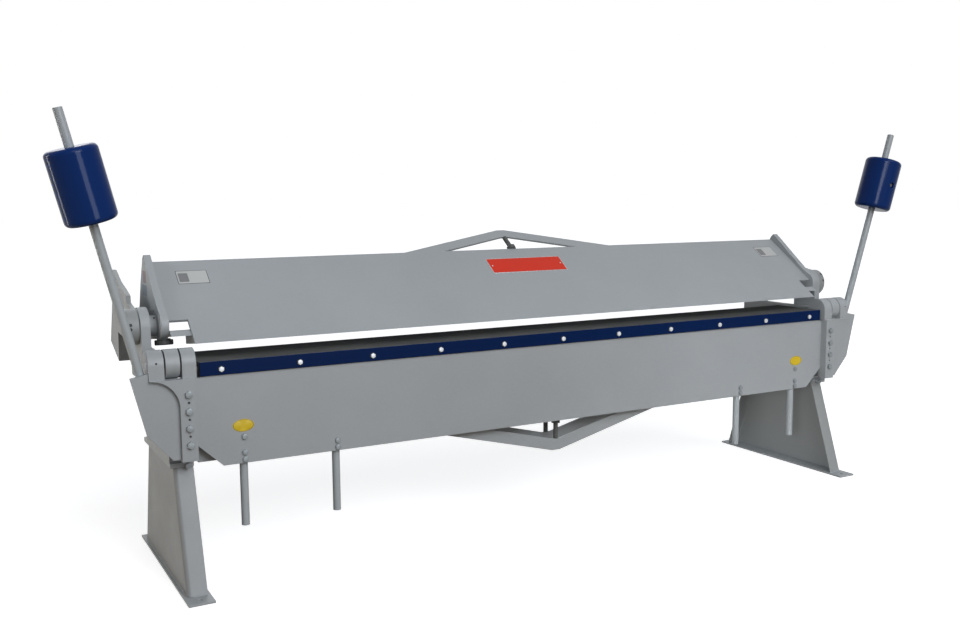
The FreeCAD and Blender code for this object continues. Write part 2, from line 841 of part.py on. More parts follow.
def handle_bolt_places():
    low = apron_bottom + S.handle_bolt_rise
    high = low + S.handle_bolt_pitch
    return [(outer_handle_place, low), (outer_handle_place, high),
            (outer_handle_place, apron_bottom + S.outer_handle_bolt_rise),
            (inner_handle_place, low), (inner_handle_place, high)]


def apron_bars():
    front = hinge - S.apron_front
    strip_front = front - S.strip_thickness
    bar_back = hinge - S.apron_bar_back
    hole = S.small_shank + S.fastener_clearance

    bar = new_body("ApronBar")
    extrude(bar, "y", front, bar_back, rectangle(-bar_half, bar_half, apron_bar_bottom, top))
    cut_away(bar, "y", front, front + S.strip_hole_depth,
             circles=[(x, strip_screw_height, hole) for x in strip_screw_places])
    node("apron_bar", bar)

    strip = new_body("ApronStrip")
    extrude(strip, "y", strip_front, front,
            rectangle(-bar_half, bar_half, top - S.strip_height, top),
            [(x, strip_screw_height, hole) for x in strip_screw_places])
    node("apron_strip", strip)

    group("strip_screws",
          [bolt(x, strip_front, strip_screw_height, "-y", "small",
                S.strip_thickness + S.strip_screw_reach)
           for x in strip_screw_places])


def arm_direction():
    lean = math.radians(S.arm_lean)
    heading = math.radians(S.arm_heading)
    return FreeCAD.Vector(math.sin(lean) * math.cos(heading), -math.sin(lean) * math.sin(heading),
                          math.cos(lean))


def arm_rotation():
    return FreeCAD.Rotation(FreeCAD.Vector(0, 0, 1), arm_direction())


def along_arm(item, distance):
    """Put an item on the counterweight arm, at a distance from its foot."""
    lean = S.arm_lean
    place(item,
          outer_knuckle_end - S.arm_foot_inset + distance * sine(lean) * cosine(S.arm_heading),
          hinge - S.arm_foot_back - distance * sine(lean) * sine(S.arm_heading),
          top - S.arm_foot_drop + distance * cosine(lean), arm_rotation())


def apron_casting():
    """The apron's end casting: bolting flange, two hinge knuckles, a wing and the arm's socket."""
    body = new_body("ApronCasting")
    front = hinge - S.flange_front
    back = hinge - S.apron_front
    sweep_bottom = flange_top - S.flange_sweep
    toe_bottom = top - S.wing_toe_drop
    extrude(body, "y", front, back,
            rectangle(flange_inner, outer_knuckle_end, flange_bottom, flange_top))
    cut_away(body, "y", front, back,
             rectangle(flange_strip_end, outer_knuckle_end, flange_bottom, sweep_bottom))
    cut_away(body, "y", front, back,
             circles=[(flange_strip_end + S.flange_sweep, sweep_bottom, S.flange_sweep)])
    extrude(body, "y", hinge - S.wing_front, hinge - S.wing_back,
            [(flange_strip_end - S.overlap, toe_bottom), (flange_strip_end + S.wing_toe, toe_bottom),
             (outer_knuckle_end + S.wing_heel_reach, top - S.wing_heel_drop),
             (outer_knuckle_end + S.wing_tip_reach, top - S.wing_tip_drop),
             (outer_knuckle_end - S.overlap, top - S.wing_root_drop),
             (outer_knuckle_end - S.overlap, flange_top), (flange_strip_end - S.overlap, flange_top)])
    for start, end in ((inner_knuckle_start, inner_knuckle_end),
                       (outer_knuckle_start, outer_knuckle_end)):
        extrude(body, "x", start, end, circles=[(hinge, top, S.knuckle_radius)])
        extrude(body, "x", start, end,
                rectangle(hinge - S.knuckle_radius, hinge - S.knuckle_block_back,
                          flange_top - S.overlap, top))
    socket = body.newObject("PartDesign::AdditiveCylinder", "Socket")
    bind(socket, "Radius", S.arm_boss_radius)
    bind(socket, "Height", S.arm_boss_length)
    along_arm(socket, S.arm_boss_start)
    doc.recompute()
    socket_bore = body.newObject("PartDesign::SubtractiveCylinder", "SocketBore")
    bind(socket_bore, "Radius", S.arm_radius)
    bind(socket_bore, "Height", S.arm_boss_length + 2 * S.arm_boss_radius)
    along_arm(socket_bore, 0)
    doc.recompute()
    bore = S.hinge_pin_radius + S.pin_clearance
    cut_away(body, "x", inner_knuckle_start + S.hinge_pin_cap, outer_knuckle_end,
             circles=[(hinge, top, bore)])
    cut_away(body, "y", front, back,
             circles=[(flange_bolt_x, height, S.large_shank + S.fastener_clearance)
                      for height in flange_bolt_heights])
    cut_away(body, "y", front, back,
             circles=[(flange_bolt_x, height, S.dowel_radius) for height in dowel_heights])
    return body


def apron_fasteners():
    front = hinge - S.flange_front
    back = hinge - S.apron_front + S.apron_plate
    grip = back - front + S.large_head + S.bolt_end
    bolts = []
    for side in (-1, 1):
        for height in flange_bolt_heights:
            bolts.append(bolt(side * flange_bolt_x, front, height, "-y", "large", grip))
            bolts.append(nut(side * flange_bolt_x, back, height, "+y", "large"))
    group("casting_bolts", bolts)
    group("casting_dowels",
          [rod(side * flange_bolt_x, front + S.dowel_recess, height, "+y", S.dowel_radius,
               back - front - S.dowel_recess)
           for side in (-1, 1) for height in dowel_heights])


def lifting_handles():
    """Round bars behind the apron plate, each cross-drilled for its bolts."""
    front = hinge - S.apron_front
    line = front + S.apron_plate + S.handle_radius
    bottom = apron_bottom - S.handle_overhang
    tops = {outer_handle_place: apron_bottom + S.outer_handle_rise,
            inner_handle_place: apron_bottom + S.inner_handle_rise}
    depth = S.apron_plate + 2 * S.handle_radius
    bolts = []
    for side, name in ((-1, "left"), (1, "right")):
        bars = []
        for x, bar_top in tops.items():
            bar = rod(side * x, line, bottom, "+z", S.handle_radius, bar_top - bottom)
            for bolt_x, height in handle_bolt_places():
                if bolt_x is x:
                    hole = rod(side * x, front, height, "+y", S.medium_shank + S.pin_clearance, depth)
                    bar = subtract(bar, hole)
                    bolts.append(bolt(side * x, front, height, "-y", "medium", depth))
            bars.append(bar)
        group(name + "_lifting_handles", bars)
    group("handle_bolts", bolts)


# Counterweights

def weight_arm():
    arm = doc.addObject("Part::Cylinder", "Arm")
    bind(arm, "Radius", S.arm_radius)
    bind(arm, "Height", S.arm_length)
    along_arm(arm, 0)
    return arm


def counterweight(turn):
    """A drilled cylinder with rounded rims and a set screw let into its side."""
    body = new_body("Counterweight")
    half = S.weight_length / 2
    extrude(body, "z", -half, half, circles=[(0, 0, S.weight_radius)])
    round_edges(body, S.weight_edge, lambda edge: len(edge.Vertexes) == 1)
    cut_away(body, "z", -half, half, circles=[(0, 0, S.arm_radius + S.pin_clearance)])
    cut_away(body, "y", -S.weight_radius, -S.arm_radius, circles=[(0, 0, S.weight_screw_radius)])
    cut_away(body, "y", -S.weight_radius, -S.weight_radius + S.weight_screw_recess,
             circles=[(0, 0, S.weight_screw_bore)])
    along_arm(body, S.weight_place)
    body.Placement.Rotation = arm_rotation() * FreeCAD.Rotation(FreeCAD.Vector(0, 0, 1), turn)
    return body


def weight_screw(turn):
    """The set screw that bears on the arm, drawn with the weight's own axis as local Z."""
    bottom = S.arm_radius + S.pin_clearance
    length = S.weight_radius - S.weight_screw_recess / 2 - bottom
    body = new_body("WeightScrew")
    extrude(body, "y", -bottom - length, -bottom, circles=[(0, 0, S.weight_screw_radius)])
    along_arm(body, S.weight_place)
    body.Placement.Rotation = arm_rotation() * FreeCAD.Rotation(FreeCAD.Vector(0, 0, 1), turn)
    return body


# Leaf

def leaf_point(along, depth):
    """A point of the closed leaf: along its front face from the nose, and in from that face."""
    back = S.nose_setback + along * cosine(S.leaf_angle) + depth * sine(S.leaf_angle)
    height = top + along * sine(S.leaf_angle) - depth * cosine(S.leaf_angle)
    return hinge + back, height


def inner_face(height):
    """Where the leaf plate's inner face lies at a height above the closed bed."""
    nose = S.nose_setback + S.leaf_plate / sine(S.leaf_angle)
    return hinge + nose + height * cosine(S.leaf_angle) / sine(S.leaf_angle)


def leaf_plate():
    """The sloping plate; its nose is ground level with the bed and notched at the ends."""
    body = new_body("LeafPlate")
    extrude(body, "x", -leaf_end_inner, leaf_end_inner,
            [leaf_point(0, 0), leaf_point(S.leaf_length, 0), leaf_point(S.leaf_length, S.leaf_plate),
             (inner_face(0), top)])
    for low, high in ((leaf_nose_half, leaf_end_inner), (-leaf_end_inner, -leaf_nose_half)):
        cut_away(body, "x", low, high,
                 [leaf_point(-S.leaf_plate, -S.leaf_plate), leaf_point(S.leaf_notch, -S.leaf_plate),
                  leaf_point(S.leaf_notch, 2 * S.leaf_plate),
                  leaf_point(-S.leaf_plate, 2 * S.leaf_plate)])
    return turn_open(node("leaf_plate", body))


def leaf_inside():
    """The bar, flange, lip and ribs behind the leaf plate."""
    bar_top = top + S.nose_bar_height
    rib_foot = bar_top + S.leaf_flange
    rib_front = inner_face(S.nose_bar_height + S.leaf_flange)
    flange_back = hinge + S.nose_setback + S.leaf_flange_depth
    screw_line = hinge + S.nose_setback + S.nose_screw_back
    screw_places = [strip_screw_pitch * (i + 0.5) for i in range(-5, 5)]
    screw_hole = S.medium_shank + S.fastener_clearance

    bar = new_body("NoseBar")
    extrude(bar, "x", -leaf_nose_half, leaf_nose_half,
            [(inner_face(0), top), (hinge + S.nose_setback + S.nose_bar_depth, top),
             (hinge + S.nose_setback + S.nose_bar_depth, bar_top),
             (inner_face(S.nose_bar_height), bar_top)])
    cut_away(bar, "z", bar_top - S.nose_hole_depth, bar_top,
             circles=[(x, screw_line, screw_hole) for x in screw_places])
    turn_open(node("nose_bar", bar))

    flange = new_body("LeafFlange")
    extrude(flange, "x", -leaf_end_inner, leaf_end_inner,
            [(inner_face(S.nose_bar_height), bar_top), (flange_back, bar_top),
             (flange_back, rib_foot), (rib_front, rib_foot)])
    cut_away(flange, "z", bar_top, rib_foot,
             circles=[(x, screw_line, screw_hole) for x in screw_places])
    turn_open(node("leaf_flange", flange))

    lip = new_body("LeafLip")
    extrude(lip, "x", -leaf_end_inner, leaf_end_inner,
            [leaf_point(S.leaf_length - S.leaf_lip, S.leaf_plate), leaf_point(S.leaf_length, S.leaf_plate),
             leaf_point(S.leaf_length, S.leaf_plate + S.leaf_lip_depth),
             leaf_point(S.leaf_length - S.leaf_lip, S.leaf_plate + S.leaf_lip_depth)])
    turn_open(node("leaf_lip", lip))

    ribs = []
    for place_number in range(-2, 3):
        rib = new_body("LeafRib")
        middle = 2 * strip_screw_pitch * place_number
        extrude(rib, "x", middle - S.leaf_rib / 2, middle + S.leaf_rib / 2,
                [(rib_front, rib_foot), (flange_back, rib_foot),
                 leaf_point(S.leaf_rib_reach, S.leaf_plate + S.leaf_lip_depth),
                 leaf_point(S.leaf_rib_reach, S.leaf_plate)])
        ribs.append(rib)
    turn_open(group("leaf_ribs", ribs))

    turn_open(group("nose_bar_screws",
                    [bolt(x, screw_line, rib_foot, "+z", "medium",
                          S.leaf_flange + S.nose_screw_reach)
                     for x in screw_places]))


def leaf_end():
    """The leaf's end plate, from the clamp lug at the front to the pivot ear at the rear."""
    body = new_body("LeafEnd")
    lug_y = hinge + S.leaf_lug_back
    lug_z = top + S.leaf_lug_rise
    shaft = (hinge + S.clamp_back, top + S.clamp_rise, S.clamp_shaft_radius + S.pin_clearance)
    pivot_y = hinge + S.leaf_pivot_back
    crest_y = hinge + S.leaf_crest_back
    crest_z = top + S.leaf_crest_rise
    lug_shoulder = S.leaf_lug_radius * 0.7
    ear_shoulder = S.leaf_pivot_ear * 0.7
    extrude(body, "x", leaf_end_inner, leaf_end_outer,
            [(lug_y - lug_shoulder, lug_z + lug_shoulder),
             leaf_point(S.end_step_along, -S.end_step_proud),
             (crest_y, crest_z), (crest_y + S.leaf_crest_run, crest_z - S.leaf_crest_drop),
             (crest_y + S.leaf_brow_run, crest_z - S.leaf_brow_drop),
             (crest_y + S.leaf_nape_run, crest_z - S.leaf_nape_drop),
             (pivot_y + ear_shoulder, pivot_height + ear_shoulder),
             (pivot_y, pivot_height - S.leaf_pivot_ear), (lug_y, lug_z - S.leaf_lug_radius)])
    extrude(body, "x", leaf_end_inner, leaf_end_outer, circles=[(lug_y, lug_z, S.leaf_lug_radius)])
    extrude(body, "x", leaf_end_inner, leaf_end_outer,
            circles=[(pivot_y, pivot_height, S.leaf_pivot_ear)])
    extrude(body, "x", leaf_end_outer, collar_end,
            circles=[(hinge + S.clamp_back, top + S.clamp_rise, S.collar_radius)])
    cut_away(body, "x", leaf_end_inner, collar_end, circles=[shaft])
    cut_away(body, "x", leaf_end_inner, leaf_end_outer,
             circles=[(pivot_y, pivot_height, S.leaf_pivot_radius + S.pin_clearance)])
    return turn_open(body)


def leaf_truss():
    strap = new_body("LeafTruss")
    depth = S.leaf_truss_depth
    extrude(strap, "z", -depth - S.truss_strap, -depth,
            truss_outline(S.leaf_truss_half, S.leaf_truss_rise, S.leaf_length, 1))
    lay_on_leaf(node("leaf_truss_strap", strap))
    middle = -depth - S.truss_strap / 2
    post = rod(0, S.leaf_length, middle, "+y", S.truss_post_radius, S.leaf_truss_rise - S.truss_band)
    nut_body = hexagon(0, S.leaf_length, middle, "+y", S.truss_nut_flats, S.truss_nut_height)
    nut_bore = rod(0, S.leaf_length, middle, "+y", S.truss_post_radius, S.truss_nut_height)
    lay_on_leaf(group("leaf_truss_post", [post, subtract(nut_body, nut_bore)]))


def nameplate():
    body = new_body("Nameplate")
    half = S.nameplate_width / 2
    extrude(body, "z", 0, S.nameplate_thickness,
            rectangle(S.nameplate_shift - half, S.nameplate_shift + half,
                      S.nameplate_rise, S.nameplate_rise + S.nameplate_height))
    lay_on_leaf(node("nameplate", body))


# Clamp levers and links

def clamp_lever():
    """A heavy lever: hub on the clamp shaft, rising neck, and a thick block behind."""
    body = new_body("ClampLever")
    y = hinge + clamp_back
    z = clamp_height
    crotch = (y + S.lever_crotch_back, z - S.lever_crotch_drop)
    heel = (y + S.lever_heel_back, z - S.lever_heel_drop)
    tail = (y + S.lever_tail_back, z - S.lever_tail_drop)
    waist = (y + S.lever_waist_back, z + S.lever_waist_rise)
    plate_outer = hub_inner + S.lever_plate
    extrude(body, "x", hub_inner, plate_outer,
            [(y, z - S.hub_radius), crotch, heel, tail, waist,
             (y + S.lever_top_rear, z + S.lever_top_rise), (y + S.lever_top_front, z + S.lever_top_rise),
             (y + S.lever_crest_back, z + S.lever_crest_rise),
             (y + S.lever_shoulder_back, z + S.lever_shoulder_rise),
             (y + S.lever_neck_back, z + S.lever_neck_high),
             (y + S.lever_neck_back, z + S.lever_neck_low), (y, z + S.hub_radius)])
    extrude(body, "x", hub_inner, hub_outer, circles=[(y, z, S.hub_radius)])
    extrude(body, "x", plate_outer - S.lever_block, hub_inner, [crotch, heel, tail, waist])
    cut_away(body, "x", hub_inner, hub_outer, circles=[(y, z, S.clamp_shaft_radius)])
    return body


def clamp_shaft():
    start = leaf_end_inner - S.clamp_shaft_overhang
    return rod(start, hinge + clamp_back, clamp_height, "+x", S.clamp_shaft_radius, hub_outer - start)


def link():
    """An upright link: round foot on its pin, round head with a slot for the clamp shaft."""
    body = new_body("Link")
    y = hinge + clamp_back
    half = S.link_width / 2
    closed_height = top + S.clamp_rise
    slot_radius = S.clamp_shaft_radius + S.link_slot_clearance
    extrude(body, "x", link_inner, link_outer,
            rectangle(y - half, y + half, link_foot_height, clamp_height))
    extrude(body, "x", link_inner, link_outer, circles=[(y, clamp_height, half)])
    extrude(body, "x", link_inner, link_outer, circles=[(y, link_foot_height, half)])
    cut_away(body, "x", link_inner, link_outer,
             rectangle(y - slot_radius, y + slot_radius, closed_height, clamp_height))
    cut_away(body, "x", link_inner, link_outer, circles=[(y, closed_height, slot_radius)])
    cut_away(body, "x", link_inner, link_outer, circles=[(y, clamp_height, slot_radius)])
    cut_away(body, "x", link_inner, link_outer,
             circles=[(y, link_foot_height, S.link_pin_radius + S.pin_clearance)])
    return body


# Set-back blocks

def setback_block():
    body = new_body("SetbackBlock")
    y = hinge + pivot_back
    half = S.block_length / 2
    extrude(body, "x", ear_inner, ear_outer,
            rectangle(y - half, y + half, pivot_height - S.block_height / 2,
                      pivot_height + S.block_height / 2))
    cut_away(body, "x", ear_inner, ear_outer, circles=[(y, pivot_height, S.leaf_pivot_radius)])
    return body


def pivot_pin():
    start = leaf_end_inner - S.pivot_pin_overhang
    return rod(start, hinge + pivot_back, pivot_height, "+x", S.leaf_pivot_radius, ear_outer - start)


def setback_screw():
    """The screw that sets how far back the leaf stands; its head is behind the ear."""
    x = (ear_inner + ear_outer) / 2
    start = hinge + pivot_back + S.block_length / 2
    shank = rod(x, start, pivot_height, "+y", S.setback_screw_radius, S.setback_screw_length)
    head = hexagon(x, start + S.setback_screw_length, pivot_height, "+y", S.large_flats, S.large_head)
    return fuse(shank, head)


def mirrored_pair(label, item):
    other = doc.addObject("Part::Mirroring", "Other")
    other.Source = item
    other.Normal = (1, 0, 0)
    group(label, [item, other])


def frame_bolts():
    grip = S.casting_foot + S.cap_thickness + S.large_head + S.bolt_end
    bolts = []
    for side in (-1, 1):
        for back in foot_bolt_backs:
            x = side * foot_bolt_line
            bolts.append(bolt(x, hinge + back, cap_top + S.casting_foot, "+z", "large", grip))
            bolts.append(nut(x, hinge + back, leg_top, "-z", "large"))
    bed_grip = casting_outer - bed_half + S.bed_plate
    for side, outward in ((-1, "-x"), (1, "+x")):
        for back in bed_bolt_backs:
            for height in bed_bolt_heights:
                bolts.append(bolt(side * casting_outer, hinge + back, height, outward, "large",
                                  bed_grip))
    group("frame_bolts", bolts)


both_ends("foot_plate", foot_plate)
both_ends("leg", leg)
mirrored_pair("leg_caps", leg_cap())
both_ends("frame_casting", frame_casting)
mirrored_pair("apron_hinge_pins", hinge_pin())
mirrored_pair("link_pins", link_pin())
mirrored_pair("slide_covers", slide_cover())
bed_plates()
lower_truss("bed", S.bed_truss_back, bed_bottom)
frame_bolts()
apron_plate()
apron_bars()
both_ends("apron_casting", apron_casting)
apron_fasteners()
lifting_handles()
lower_truss("apron", S.apron_lip_reach - S.truss_strap, apron_bottom)
both_ends("weight_arm", weight_arm)
node("right_counterweight", counterweight(0))
mirrored("left_counterweight", counterweight(180))
node("right_weight_screw", weight_screw(0))
mirrored("left_weight_screw", weight_screw(180))
leaf_plate()
leaf_inside()
both_ends("leaf_end", leaf_end)
leaf_truss()
nameplate()
both_ends("clamp_lever", clamp_lever)
both_ends("clamp_shaft", clamp_shaft)
both_ends("link", link)
both_ends("setback_block", setback_block)
mirrored_pair("leaf_pivot_pins", pivot_pin())
mirrored_pair("setback_screws", setback_screw())

doc.recompute()
for item in doc.Objects:
    if "Invalid" in item.State or "Error" in item.State:
        raise RuntimeError("%s failed: %s" % (item.Name, item.State))
os.makedirs("parts", exist_ok=True)
for label, item in NODES.items():
    shape = item.Shape
    if shape.isNull() or not shape.isValid() or not shape.Solids:
        raise RuntimeError("%s has no valid solid" % label)
    shape.exportStep("parts/%s.step" % label)
    print("%-24s solids %2d volume %12.0f" % (label, len(shape.Solids), shape.Volume))
print("nodes", len(NODES))
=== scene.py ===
"""Looks of the sheet metal folder: finishes, rounded edges and small fittings on the CAD frame.

Everything is in metres, in the frame of the CAD model: +X along the machine, +Y to the back and
+Z up. A place that both ends share is given at the +X end and mirrored by a side of -1 or 1.
"""
import json
import math

import bmesh
import bpy
from mathutils import Matrix, Vector

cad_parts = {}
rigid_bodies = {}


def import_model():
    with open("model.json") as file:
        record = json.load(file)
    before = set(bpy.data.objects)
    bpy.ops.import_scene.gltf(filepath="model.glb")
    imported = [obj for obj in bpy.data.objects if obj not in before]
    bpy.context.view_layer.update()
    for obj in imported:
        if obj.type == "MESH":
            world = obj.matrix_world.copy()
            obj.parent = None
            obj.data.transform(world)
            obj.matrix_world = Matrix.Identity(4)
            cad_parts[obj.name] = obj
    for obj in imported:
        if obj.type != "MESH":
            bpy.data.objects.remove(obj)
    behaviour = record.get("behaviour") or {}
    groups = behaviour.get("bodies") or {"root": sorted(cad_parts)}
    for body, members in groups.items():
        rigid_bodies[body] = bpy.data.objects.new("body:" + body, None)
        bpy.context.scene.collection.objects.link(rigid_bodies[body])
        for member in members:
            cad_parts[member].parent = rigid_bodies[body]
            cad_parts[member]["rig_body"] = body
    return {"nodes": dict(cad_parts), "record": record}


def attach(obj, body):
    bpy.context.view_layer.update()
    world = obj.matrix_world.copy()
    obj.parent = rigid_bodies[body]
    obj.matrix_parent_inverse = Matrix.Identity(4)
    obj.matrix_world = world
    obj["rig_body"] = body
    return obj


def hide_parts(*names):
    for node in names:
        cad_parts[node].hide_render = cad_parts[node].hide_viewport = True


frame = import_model()
NODES = frame["nodes"]
SLOTS = {part["node"]: part["material_slot"] for part in frame["record"]["subparts"]}
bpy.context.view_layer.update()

SIDES = {"left": -1, "right": 1}
FORWARD = (0, -1, 0)
BACKWARD = (0, 1, 0)
UPWARD = (0, 0, 1)
DOWNWARD = (0, 0, -1)

HINGE_Y = -0.234
HINGE_Z = 0.820
KNUCKLE_RADIUS = 0.052
APRON_FRONT = HINGE_Y - 0.028

# The leaf's front face at rest: its nose, the way up the slope and the way out of the face
LEAF_NOSE = Vector((0, -0.22983, 0.88209))
LEAF_ANGLE = math.radians(36.1)
LEAF_UP = Vector((0, math.cos(LEAF_ANGLE), math.sin(LEAF_ANGLE)))
LEAF_OUT = Vector((0, -math.sin(LEAF_ANGLE), math.cos(LEAF_ANGLE)))

# How the leaf stands open at rest, as a turn about its rear pivot
LEAF_PIVOT = Vector((0, 0.273, 0.890))
LEAF_OPEN = (Matrix.Translation(LEAF_PIVOT) @ Matrix.Rotation(math.radians(-7.1), 4, "X")
             @ Matrix.Translation(-LEAF_PIVOT))
LEAF_END_FACE = 1.626

CLAMP_AXIS = (-0.04103, 0.93355)
COLLAR_RADIUS = 0.038
HUB_RADIUS = 0.065
HUB_FACE = 1.730


# Finishes

def linear(red, green, blue):
    """A display colour, 0 to 255, as the linear colour that a shader takes."""
    def channel(value):
        value /= 255
        return value / 12.92 if value <= 0.04045 else ((value + 0.055) / 1.055) ** 2.4
    return (channel(red), channel(green), channel(blue), 1.0)


def scaled(colour, factor):
    """The same hue, lighter or darker by a factor."""
    return tuple(min(1.0, part * factor) for part in colour[:3]) + (1.0,)


class Finish:
    """A node material that is built up one node at a time."""

    def __init__(self, name):
        self.material = bpy.data.materials.new(name)
        self.material.use_nodes = True
        self.tree = self.material.node_tree
        self.tree.nodes.clear()
        self.shader = self.add("ShaderNodeBsdfPrincipled")
        output = self.add("ShaderNodeOutputMaterial")
        self.tree.links.new(self.shader.outputs["BSDF"], output.inputs["Surface"])

    def add(self, kind, inputs=None, **settings):
        node = self.tree.nodes.new(kind)
        for key, value in settings.items():
            setattr(node, key, value)
        for key, value in (inputs or {}).items():
            self.feed(node.inputs[key], value)
        return node

    def feed(self, socket, value):
        if isinstance(value, bpy.types.NodeSocket):
            self.tree.links.new(value, socket)
        else:
            socket.default_value = value

    def set(self, **inputs):
        for key, value in inputs.items():
            self.feed(self.shader.inputs[key.replace("_", " ")], value)

    def coordinates(self, stretch):
        place = self.add("ShaderNodeTexCoord").outputs["Object"]
        return self.add("ShaderNodeMapping", {"Vector": place, "Scale": stretch}).outputs["Vector"]

    def noise(self, scale, detail, roughness=0.55, stretch=(1, 1, 1)):
        node = self.add("ShaderNodeTexNoise", {"Vector": self.coordinates(stretch), "Scale": scale,
                                               "Detail": detail, "Roughness": roughness})
        return node.outputs["Fac"]

    def span(self, value, low, high, out_low=0.0, out_high=1.0):
        node = self.add("ShaderNodeMapRange", {"Value": value, "From Min": low, "From Max": high,
                                               "To Min": out_low, "To Max": out_high})
        return node.outputs["Result"]

    def math(self, operation, first, second):
        node = self.add("ShaderNodeMath", {0: first, 1: second}, operation=operation)
        return node.outputs["Value"]

    def mix(self, factor, first, second):
        node = self.add("ShaderNodeMix", {0: factor, 6: first, 7: second}, data_type="RGBA")
        return node.outputs[2]

    def round_edges(self, radius):
        """The shading normal with its edges rounded off."""
        return self.add("ShaderNodeBevel", {"Radius": radius}, samples=6).outputs["Normal"]

    def edge_mask(self, radius):
        """1 along the outer and inner edges, fading to 0 on the faces."""
        rounded = self.round_edges(radius)
        plain = self.add("ShaderNodeNewGeometry").outputs["Normal"]
        likeness = self.add("ShaderNodeVectorMath", {0: rounded, 1: plain}, operation="DOT_PRODUCT")
        return self.span(likeness.outputs["Value"], 0.80, 0.99, 1.0, 0.0)

    def relief(self, height, distance, strength, normal):
        """The shading normal with the relief of a height laid over it."""
        node = self.add("ShaderNodeBump", {"Height": height, "Distance": distance,
                                           "Strength": strength, "Normal": normal})
        return node.outputs["Normal"]


def paint(name, colour, roughness, wear, grain=0.0002, coat=0.0, specular=0.3, worn_colour=None):
    """Sprayed paint: uneven in tone, with orange peel, fine dust and lighter, rubbed edges."""
    finish = Finish(name)
    clouds = finish.span(finish.noise(2.3, 3.0), 0.3, 0.7)
    specks = finish.span(finish.noise(85.0, 3.0, 0.7), 0.35, 0.65)
    tone = finish.mix(clouds, scaled(colour, 0.955), scaled(colour, 1.04))
    tone = finish.mix(finish.math("MULTIPLY", specks, 0.22), tone, scaled(colour, 1.10))
    rubbed = finish.math("MULTIPLY", finish.edge_mask(0.0022),
                         finish.span(finish.noise(38.0, 6.0, 0.65), 0.42, 0.66, 0.0, wear))
    tone = finish.mix(rubbed, tone, worn_colour or scaled(colour, 1.45))
    gloss = finish.span(finish.noise(9.0, 5.0, 0.6), 0.3, 0.7, roughness - 0.05, roughness + 0.05)
    normal = finish.relief(finish.noise(11.0, 2.0), 0.0006, 0.2, finish.round_edges(0.0014))
    normal = finish.relief(finish.noise(420.0, 2.0), grain, 0.35, normal)
    finish.set(Base_Color=tone, Roughness=gloss, Normal=normal, Specular_IOR_Level=specular)
    finish.set(Coat_Weight=coat, Coat_Roughness=0.06)
    return finish.material


def label_print(name, colour, roughness):
    """Printed foil: hardly worn and finely grained."""
    return paint(name, colour, roughness, wear=0.1, grain=0.00004)


# How much finer a grain is along X, Y and Z
ALONG_BAR = (1.0, 26.0, 26.0)
AROUND_SHAFT = (40.0, 1.0, 1.0)
ALL_WAYS = (1.0, 1.0, 1.0)


def ground_steel(name, dark, light, roughness):
    """Ground or rolled bar: streaks along the bar, oily patches and bright corners."""
    finish = Finish(name)
    streaks = finish.span(finish.noise(9.0, 8.0, 0.72, ALONG_BAR), 0.32, 0.70)
    patches = finish.span(finish.noise(5.0, 4.0, 0.6, (0.5, 1.0, 1.0)), 0.38, 0.66)
    tone = finish.mix(streaks, dark, light)
    tone = finish.mix(finish.math("MULTIPLY", patches, 0.35), tone, scaled(dark, 0.6))
    bright = finish.math("MULTIPLY", finish.edge_mask(0.0016),
                         finish.span(finish.noise(30.0, 5.0), 0.35, 0.6, 0.1, 0.7))
    tone = finish.mix(bright, tone, scaled(light, 2.2))
    gloss = finish.math("ADD", finish.span(streaks, 0.0, 1.0, roughness - 0.08, roughness + 0.06),
                        finish.span(patches, 0.0, 1.0, 0.04, -0.05))
    normal = finish.relief(finish.noise(24.0, 6.0, 0.7, ALONG_BAR), 0.0003, 0.3,
                           finish.round_edges(0.0009))
    finish.set(Base_Color=tone, Roughness=gloss, Normal=normal, Specular_IOR_Level=0.0)
    return finish.material


def turned_steel(name, colour, roughness, stretch, metal):
    """Bright turned or plated steel with fine tool rings, stretched one way, and dull spots."""
    finish = Finish(name)
    rings = finish.noise(22.0, 5.0, 0.7, stretch)
    spots = finish.span(finish.noise(120.0, 4.0, 0.6), 0.4, 0.62)
    tone = finish.mix(finish.span(rings, 0.3, 0.7), scaled(colour, 0.82), scaled(colour, 1.10))
    tone = finish.mix(finish.math("MULTIPLY", spots, 0.25), tone, scaled(colour, 0.6))
    gloss = finish.span(spots, 0.0, 1.0, roughness - 0.05, roughness + 0.14)
    normal = finish.relief(rings, 0.0001, 0.3, finish.round_edges(0.0007))
    finish.set(Base_Color=tone, Roughness=gloss, Normal=normal, Metallic=metal)
    return finish.material


def rubber(name, colour):
    """Dark moulded rubber, matt with a fine grain and a little dust."""
    finish = Finish(name)
    dust = finish.span(finish.noise(60.0, 5.0, 0.65), 0.45, 0.75, 0.0, 0.35)
    tone = finish.mix(dust, colour, linear(92, 92, 90))
    gloss = finish.span(finish.noise(25.0, 3.0), 0.3, 0.7, 0.55, 0.8)
    normal = finish.relief(finish.noise(900.0, 2.0), 0.0002, 0.5, finish.round_edges(0.0012))
    finish.set(Base_Color=tone, Roughness=gloss, Normal=normal)
    return finish.material


